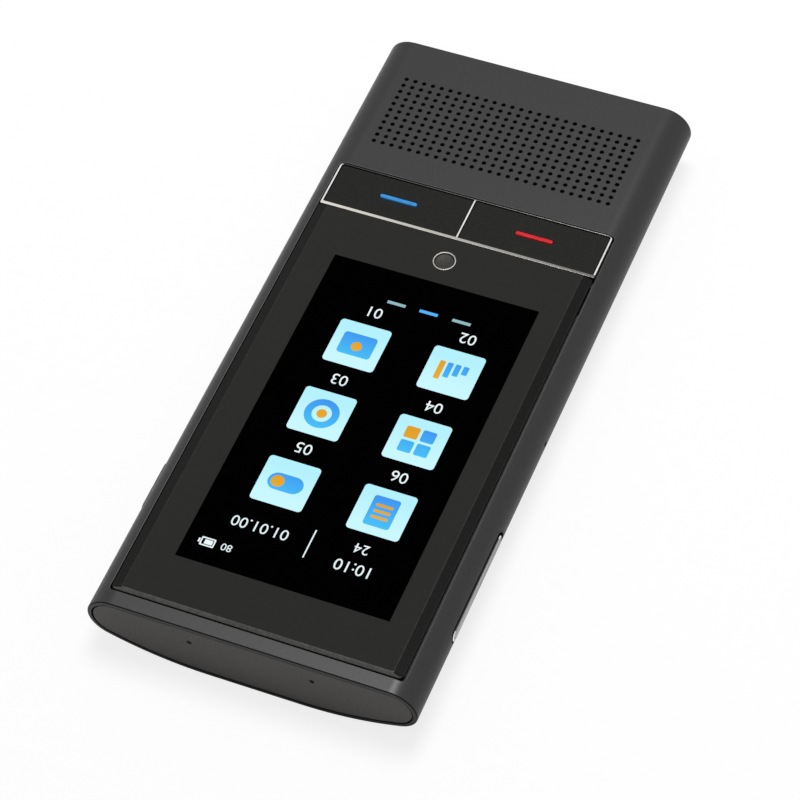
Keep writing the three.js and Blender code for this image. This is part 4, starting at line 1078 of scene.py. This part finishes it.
def figures(lines):
    """Numerals as closed plates: faces of the letter forms at (text, x, y, height)."""
    half = PICTURE_STEP * PICTURE_FILL / 2
    level = glass_high.z + PICTURE_STEP * 0.5 + half
    shell = bmesh.new()
    for text, x, y, height in lines:
        curve = bpy.data.curves.new("figures", "FONT")
        curve.body = text
        curve.size = height * LETTER_SIZE / METRE
        curve.align_x = "CENTER"
        curve.align_y = "CENTER"
        curve.extrude = half / METRE
        curve.resolution_u = 4
        written = bpy.data.objects.new("figures", curve)
        flat = bpy.data.meshes.new_from_object(written)
        flat.transform(Matrix.Translation(Vector((x, y, level)) / METRE))
        shell.from_mesh(flat)
        bpy.data.objects.remove(written)
        bpy.data.meshes.remove(flat)
        bpy.data.curves.remove(curve)
    bmesh.ops.remove_doubles(shell, verts=shell.verts, dist=1e-7)
    mesh = bpy.data.meshes.new("figures")
    shell.to_mesh(mesh)
    shell.free()
    return mesh


def show_picture():
    tiles = []
    blue = []
    gold = []
    labels = []
    for number, (y, x) in enumerate([(y, x) for y in TILE_YS for x in TILE_XS]):
        tiles.append(picture_plate(centred(x, y, TILE_HALF, TILE_HALF, TILE_CORNER)))
        blues, golds = tile_signs(x, y)[number]
        bores = [disc(x, y, SIGN_BORE, SIGN_SIDES)] if number == 2 else []
        blue += [picture_plate(outline, 1, bores) for outline in blues]
        gold += [picture_plate(outline, 2) for outline in golds]
        labels.append((f"0{number + 1}", x, y - LABEL_DROP, LABEL_HEIGHT))
    dashes = [picture_plate(centred(x, DASH_Y, *DASH_HALF, 0.1)) for x in DASH_XS]
    x, y = BATTERY_AT
    white = [
        picture_plate(centred(*RULE_AT, *RULE_HALF, 0.1)),
        picture_plate(centred(x, y, 1.25, 0.85), holes=[centred(x, y, 1.0, 0.6, 0.1)]),
        picture_plate(centred(x + 1.5, y, 0.15, 0.4, 0.1)),
        picture_plate(centred(x - 0.15, y, 0.7, 0.45, 0.08)),
    ]
    white_light = lit_pixels("white_pixels", "#E4F4F6", "#F2FBFC")
    for name, parts, light in (
        ("picture_tiles", tiles, lit_pixels("pale_cyan_pixels", "#B4F1FC", "#C9F7FF")),
        ("picture_signs", blue, lit_pixels("blue_pixels", "#3C93F0", "#45C0F8")),
        ("picture_accents", gold, lit_pixels("golden_pixels", "#DE9A1E", "#EDB030")),
        ("picture_dash", dashes[1:2], lit_pixels("bright_blue_pixels", "#3FA6FF", "#50B4FF")),
        ("picture_dashes", dashes[::2], lit_pixels("grey_pixels", "#6E9095", "#8FB9C0")),
        ("picture_rule", white, white_light),
    ):
        make_piece(name, parts, [light], "housing")
    mesh = figures(labels + FIGURES)
    mesh.materials.append(white_light)
    numerals = add_object("picture_numerals", mesh)
    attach(numerals, "housing")


show_picture()


# Key bezel
# A stamped frame round the two keys with a divider between them, polished and chromed.
BEZEL_SIDE = 0.32
BEZEL_FAR = 0.2
BEZEL_NEAR = 0.6
BEZEL_DIVIDER = 0.32
BEZEL_CORNER = 0.75
BEZEL_INNER_CORNER = 0.2
BEZEL_EDGE = 0.1
FAR_RAIL_SHADE_REACH = 0.3
NEAR_RAIL_REFLECTION_REACH = 0.1

window_far = bezel_low.y + BEZEL_FAR
window_near = bezel_high.y - BEZEL_NEAR
window_inner = BEZEL_DIVIDER / 2
window_outer = bezel_high.x - BEZEL_SIDE
window_corner = BEZEL_CORNER - BEZEL_SIDE


def polished_chrome():
    # Bright chrome mirrors the room. A long ripple of the polishing wheel barely shows. The far
    # rail is painted dim, painted shade for the dark wall of the opening that it lies close under,
    # and the near rail is painted a warmer grey. Both are painted to change along their length with what
    # they mirror: painted reflection.
    material = grained("polished_chrome", "#DCDCDA", "#EDEDEB", 2.0, 0.0002, stretch=(4, 1, 1),
                       Metallic=1.0, Roughness=0.14)
    tree, shader, place = opened(material)
    parts = add_node(tree, "ShaderNodeSeparateXYZ", {0: place})
    along = add_node(tree, "ShaderNodeMapRange", {
        "Value": parts.outputs["X"],
        "From Min": bezel_low.x / METRE,
        "From Max": bezel_high.x / METRE,
    })
    shade = shader.inputs["Base Color"].links[0].from_socket
    # The rails' colours: painted shade on the far rail, painted reflection along the near rail.
    for start, end, left, right in (
        (window_far + FAR_RAIL_SHADE_REACH, window_far, "#7A7A78", "#424241"),
        (window_near - NEAR_RAIL_REFLECTION_REACH, window_near, "#6E6D6B", "#DEDAD2"),
    ):
        on_rail = add_node(tree, "ShaderNodeMapRange", {
            "Value": parts.outputs["Y"],
            "From Min": start / METRE,
            "From Max": end / METRE,
        })
        tone = add_node(tree, "ShaderNodeMix", {
            "Factor": along.outputs["Result"],
            6: colour(left),
            7: colour(right),
        }, data_type="RGBA")
        shade = add_node(tree, "ShaderNodeMix", {
            "Factor": on_rail.outputs["Result"],
            6: shade,
            7: tone.outputs[2],
        }, data_type="RGBA").outputs[2]
    tree.links.new(shade, shader.inputs["Base Color"])
    return material


def window(side, extra, soft):
    """A window of the frame, on the +X side for 1 and the -X side for -1, grown by so much."""
    xs = sorted((side * (window_inner - extra), side * (window_outer + extra)))
    radii = [soft, window_corner] if side > 0 else [window_corner, soft]
    return grown(*xs, window_far - extra, window_near + extra, radii + [soft, soft])


windows = [window(side, 0, BEZEL_INNER_CORNER) for side in (1, -1)]
bezel_outline = grown(bezel_low.x, bezel_high.x, bezel_low.y, bezel_high.y,
                      [BEZEL_CORNER, BEZEL_CORNER, BEZEL_INNER_CORNER, BEZEL_INNER_CORNER])
bezel_part = plate(bezel_outline, bezel_low.z, bezel_high.z, windows, edge=BEZEL_EDGE)
make_piece("bezel", [bezel_part], [polished_chrome()], "housing", ["key_bezel"])


# Talk keys
# Two black plates of moulded polycarbonate in the windows of the bezel, each with a flange below
# the frame and a coloured light bar pressed through its middle.
KEY_GAP = 0.09
KEY_CORNER = 0.1
KEY_FLANGE_LIP = 0.1
KEY_EDGE = 0.18
BAR_HALF = 3.45
BAR_HALF_WIDTH = 0.4
BAR_GAP = 0.06
BAR_EDGE = 0.22


def lit_acrylic(name, dark, light):
    # Tinted acrylic with a lamp below it: saturated, and a little brighter than its own colour.
    material = grained(name, dark, light, 1.2, 0.0005, Roughness=0.22, Specular_IOR_Level=0.2)
    shader = opened(material)[1]
    shader.inputs["Emission Color"].default_value = colour(light)
    shader.inputs["Emission Strength"].default_value = 0.12
    return material


# Satin lacquer over polycarbonate: near black with a broad soft sheen.
lacquer = grained("satin_lacquer", "#1B1B1A", "#212120", 0.4, 0.001, Roughness=0.34,
                  Specular_IOR_Level=0.06)
for name, side, glow in (("blue", 1, ("#2A80C4", "#338BCD")), ("red", -1, ("#B8161D", "#C91F26"))):
    bar = centred(side * (window_inner + window_outer) / 2, (window_far + window_near) / 2,
                  BAR_HALF, BAR_HALF_WIDTH, BAR_HALF_WIDTH, 8)
    bar_hole = widened(bar, BAR_GAP)
    bar_low, bar_high = box_mm(f"{name}_light_bar")
    key_top = box_mm(f"{name}_key")[1].z
    flange_top = bezel_low.z - KEY_GAP
    key_parts = [
        plate(window(side, -KEY_GAP, KEY_CORNER), flange_top, key_top, [bar_hole], edge=KEY_EDGE),
        plate(window(side, KEY_FLANGE_LIP, KEY_CORNER), bar_low.z, flange_top - PART_LINE, [bar_hole]),
    ]
    make_piece(f"{name}_key_plate", key_parts, [lacquer], f"{name}_key", [f"{name}_key"])
    make_piece(f"{name}_bar", [plate(bar, bar_low.z, bar_high.z, edge=BAR_EDGE)],
               [lit_acrylic(f"{name}_acrylic", *glow)], f"{name}_key",
               [f"{name}_light_bar"])


# Home ring and button
# A turned ring of silver-plated brass with a foot below the glass, and in it a dished button of
# dark satin nickel that stands just below the ring.
RING_WIDTH = 0.28
RING_FOOT_THICKNESS = 0.2
RING_EDGE = 0.1
BUTTON_RADIUS = 1.62
BUTTON_EDGE = [(0.0, 0.08), (0.03, 0.02), (0.1, 0.0)]
BUTTON_DISH = 0.1
DISH_STEPS = 10


def turned(profile, closed):
    """A profile of radius and height, turned about the home button's axis: faces and facings.

    The profile runs up the outside and down the inside. It either closes on itself or is capped
    at both ends."""
    rings = [[Vector((*p, height)) for p in circle(0, home_y, radius, BORE_SIDES)]
             for radius, height in profile]
    faces = skinned(rings + rings[:1]) if closed else skinned(rings) + [rings[0], rings[-1]]
    before = profile[-1:] + profile[:-1] if closed else profile[:1] + profile[:-1]
    after = profile[1:] + profile[:1] if closed else profile[1:] + profile[-1:]
    facings = {}
    for ring, a, b in zip(rings, before, after):
        facing = Vector((b[1] - a[1], a[0] - b[0])).normalized()
        for point in ring:
            out = (point - Vector((0, home_y, point.z))).normalized()
            facings[key_of(point)] = out * facing.x + Vector((0, 0, facing.y))
    return faces, facings


def satin_metal(name, dark, light, rough):
    # Turned and lightly blasted metal: an even grey with a grain that only shows close up.
    return grained(name, dark, light, 0.25, 0.0004, Metallic=1.0, Roughness=rough)


ring_inner = ring_radius - RING_WIDTH
foot_radius = ring_radius + RING_FOOT_WIDTH
foot_top = ring_low.z + RING_FOOT_THICKNESS
ring_profile = [(ring_inner, ring_low.z), (foot_radius, ring_low.z), (foot_radius, foot_top),
                (ring_radius, foot_top), (ring_radius, ring_high.z - RING_EDGE)]
rim_turns = spaced(0, math.pi / 2, 4)
for start, sign, turns in ((ring_radius, -1, rim_turns[1:]), (ring_inner, 1, rim_turns[::-1])):
    ring_profile += [(start + sign * RING_EDGE * (1 - math.cos(turn)),
                      ring_high.z - RING_EDGE * (1 - math.sin(turn))) for turn in turns]
make_piece("ring", [turned(ring_profile, True)],
           [satin_metal("silver_plate", "#8B8984", "#98958F", 0.38)], "housing",
           ["home_ring"])

button_low, button_high = box_mm("home_button")
button_profile = [(BUTTON_RADIUS, button_low.z)]
button_profile += [(BUTTON_RADIUS - inset, button_high.z - drop) for inset, drop in BUTTON_EDGE]
dish_radius = BUTTON_RADIUS - BUTTON_EDGE[-1][0]
button_profile += [(dish_radius * (1 - share), button_high.z - BUTTON_DISH * (1 - (1 - share) ** 2))
                   for share in spaced(0, 1, DISH_STEPS)[1:-1]]
make_piece("button", [turned(button_profile, False)],
           [satin_metal("satin_nickel", "#2C2C2B", "#363635", 0.5)], "home_button",
           ["home_button"])


# Side keys
# Machined aluminium bars with a flange inside the sleeve. The volume key in the -X side has bright
# cut edges and rocks on a nub in its middle. The power key in the +X side is dyed like the sleeve
# and barely stands proud.
SIDE_KEY_HEIGHT = 2.4
SIDE_KEY_EDGE = 0.3
VOLUME_KEY_TOP = 28.6
POWER_KEY_TOP = 28.82
SIDE_FLANGE = (25.85, 26.55)
SIDE_FLANGE_LIP = 0.6
FLANGE_GAP = 0.1
NUB_RADIUS = 0.8
NUB_GAP = 0.05
FULCRUM_HALF = 0.6
VOLUME_FACE_TURN = 0.97
VOLUME_EDGE_TURN = 0.6


def facing_right(u, v, w):
    return Vector((w, u, v))


def facing_left(u, v, w):
    return Vector((-w, u, v))


def side_key_parts(bar, node, top, place):
    low, high = box_mm(node)
    levels = ((bar, SIDE_KEY_HEIGHT / 2),
              ((low.y + FLANGE_GAP, high.y - FLANGE_GAP), SIDE_KEY_HEIGHT / 2 + SIDE_FLANGE_LIP))
    outline, flange = [grown(*ends, side_level - tall, side_level + tall, [tall] * 4, 12)
                       for ends, tall in levels]
    return [
        plate(outline, SIDE_FLANGE[1] + PART_LINE, top, edge=SIDE_KEY_EDGE, place=place, steps=2),
        plate(flange, *SIDE_FLANGE, place=place),
    ]


def nub_part(y, tip, place):
    return plate(disc(y, side_level, NUB_RADIUS, 24), tip, SIDE_FLANGE[0] - PART_LINE, place=place)


def volume_finish(centre, normal):
    """0 for the brushed face, 1 for the bright edge of its ends, 2 sides painted dark as painted shade of
    the slot, 3 long edges painted darker grey as painted shade.
    """
    if centre.x < -VOLUME_KEY_TOP + PART_LINE and abs(normal.x) > VOLUME_FACE_TURN:
        return 0
    if centre.x > -VOLUME_KEY_TOP + SIDE_KEY_EDGE or abs(normal.x) < VOLUME_EDGE_TURN:
        return 2
    from_end = min(centre.y - VOLUME_BAR[0], VOLUME_BAR[1] - centre.y)
    return 1 if from_end < SIDE_KEY_HEIGHT / 2 else 3


volume_low, volume_high = box_mm("volume_key")
volume_parts = side_key_parts(VOLUME_BAR, "volume_key", VOLUME_KEY_TOP, facing_left)
for plunger in ("volume_down_plunger", "volume_up_plunger"):
    low, high = box_mm(plunger)
    volume_parts.append(nub_part((low.y + high.y) / 2, NUB_GAP - low.x, facing_left))
fulcrum = centred((volume_low.y + volume_high.y) / 2, side_level, FULCRUM_HALF, NUB_RADIUS, 0.2, 8)
volume_parts.append(plate(fulcrum, -volume_high.x, SIDE_FLANGE[0] - PART_LINE, place=facing_left))
make_piece("volume_rocker", volume_parts, [
    # Brushed along its length: the fine lines are drawn 0.3 mm apart, light and dark.
    grained("brushed_aluminium", "#5C5C5D", "#B4B4B2", 0.45, 0.01, contrast=0.8, stretch=(1, 60, 1),
            Metallic=1.0, Roughness=0.34),
    # The ends are cut with a diamond tool and mirror the room: two small bright crescents.
    grained("polished_cut", "#EFEFED", "#FBFBF9", 0.5, 0.0005, Metallic=1.0, Roughness=0.1),
    # The sides of the key are painted near black: painted shade of the slot's walls.
    painted_shade_edge,
    # The long edges are cut with a plain tool: a dull shine, set darker than the brushed face as painted
    # shade.
    grained("dull_cut_painted_shade", "#5A5A5C", "#6C6C6D", 0.3, 0.002, Metallic=1.0, Roughness=0.4),
], "volume_key", ["volume_key"], pick=volume_finish)
power_low, power_high = box_mm("power_key")
power_parts = side_key_parts(POWER_BAR, "power_key", POWER_KEY_TOP, facing_right)
power_parts.append(nub_part((power_low.y + power_high.y) / 2, power_low.x, facing_right))
make_piece("power_button", power_parts, [dyed_skin], "power_key",
           ["power_key"])


# Floor, world and lamps
# A pale matt table top in a white room, with one soft lamp above the speaker end. The room is
# white in mirrors and weaker on matt surfaces, where the lamp adds the rest.
FLOOR_HALF_MM = 1500.0
FLOOR_DROP_MM = 0.05
FLOOR_WHITENING = 0.8
ROOM_LEVEL = 0.35
LAMP_AT_MM = (0.0, -190.0, 820.0)
LAMP_WIDTH_MM = 400.0
LAMP_WATTS = 5.4
WHITE = (1.0, 1.0, 1.0, 1.0)


def matt_paint():
    # Matt white paint with the faint stipple of the roller, 2 mm across. To the camera it is
    # part white light, so that the table stays white and the shadow on it is a light one.
    material = grained("matt_paint", "#F6F6F6", "#F9F9F9", 2.0, 0.005, Roughness=0.9,
                       Specular_IOR_Level=0.1)
    tree, shader, _ = opened(material)
    seen = add_node(tree, "ShaderNodeLightPath").outputs["Is Camera Ray"]
    share = add_node(tree, "ShaderNodeMath", {0: seen, 1: FLOOR_WHITENING}, operation="MULTIPLY")
    glow = add_node(tree, "ShaderNodeEmission", {"Color": WHITE})
    blend = add_node(tree, "ShaderNodeMixShader", {
        0: share.outputs[0],
        1: shader.outputs[0],
        2: glow.outputs[0],
    })
    tree.links.new(blend.outputs[0], tree.nodes["Material Output"].inputs["Surface"])
    return material


def lay_floor():
    half = FLOOR_HALF_MM / METRE
    level = -FLOOR_DROP_MM / METRE
    corners = [(x * half, y * half, level) for x, y in ((-1, -1), (1, -1), (1, 1), (-1, 1))]
    mesh = bpy.data.meshes.new("floor")
    mesh.from_pydata(corners, [], [(0, 1, 2, 3)])
    mesh.materials.append(matt_paint())
    floor = add_object("floor", mesh)


def light_room():
    world = bpy.data.worlds.new("white_room")
    world.use_nodes = True
    tree = world.node_tree
    rays = add_node(tree, "ShaderNodeLightPath").outputs
    seen = rays["Is Camera Ray"]
    for ray in ("Is Glossy Ray", "Is Transmission Ray"):
        seen = add_node(tree, "ShaderNodeMath", {0: seen, 1: rays[ray]}, operation="MAXIMUM").outputs[0]
    level = add_node(tree, "ShaderNodeMapRange", {"Value": seen, "To Min": ROOM_LEVEL, "To Max": 1.0})
    back = tree.nodes["Background"]
    back.inputs["Color"].default_value = WHITE
    tree.links.new(level.outputs["Result"], back.inputs["Strength"])
    bpy.context.scene.world = world


def hang_lamp():
    data = bpy.data.lights.new("soft_lamp", "AREA")
    data.shape = "DISK"
    data.size = LAMP_WIDTH_MM / METRE
    data.energy = LAMP_WATTS
    aimed("soft_lamp", data, Vector(LAMP_AT_MM), -Vector(LAMP_AT_MM))


lay_floor()
light_room()
hang_lamp()
bpy.context.scene.view_settings.view_transform = "Standard"
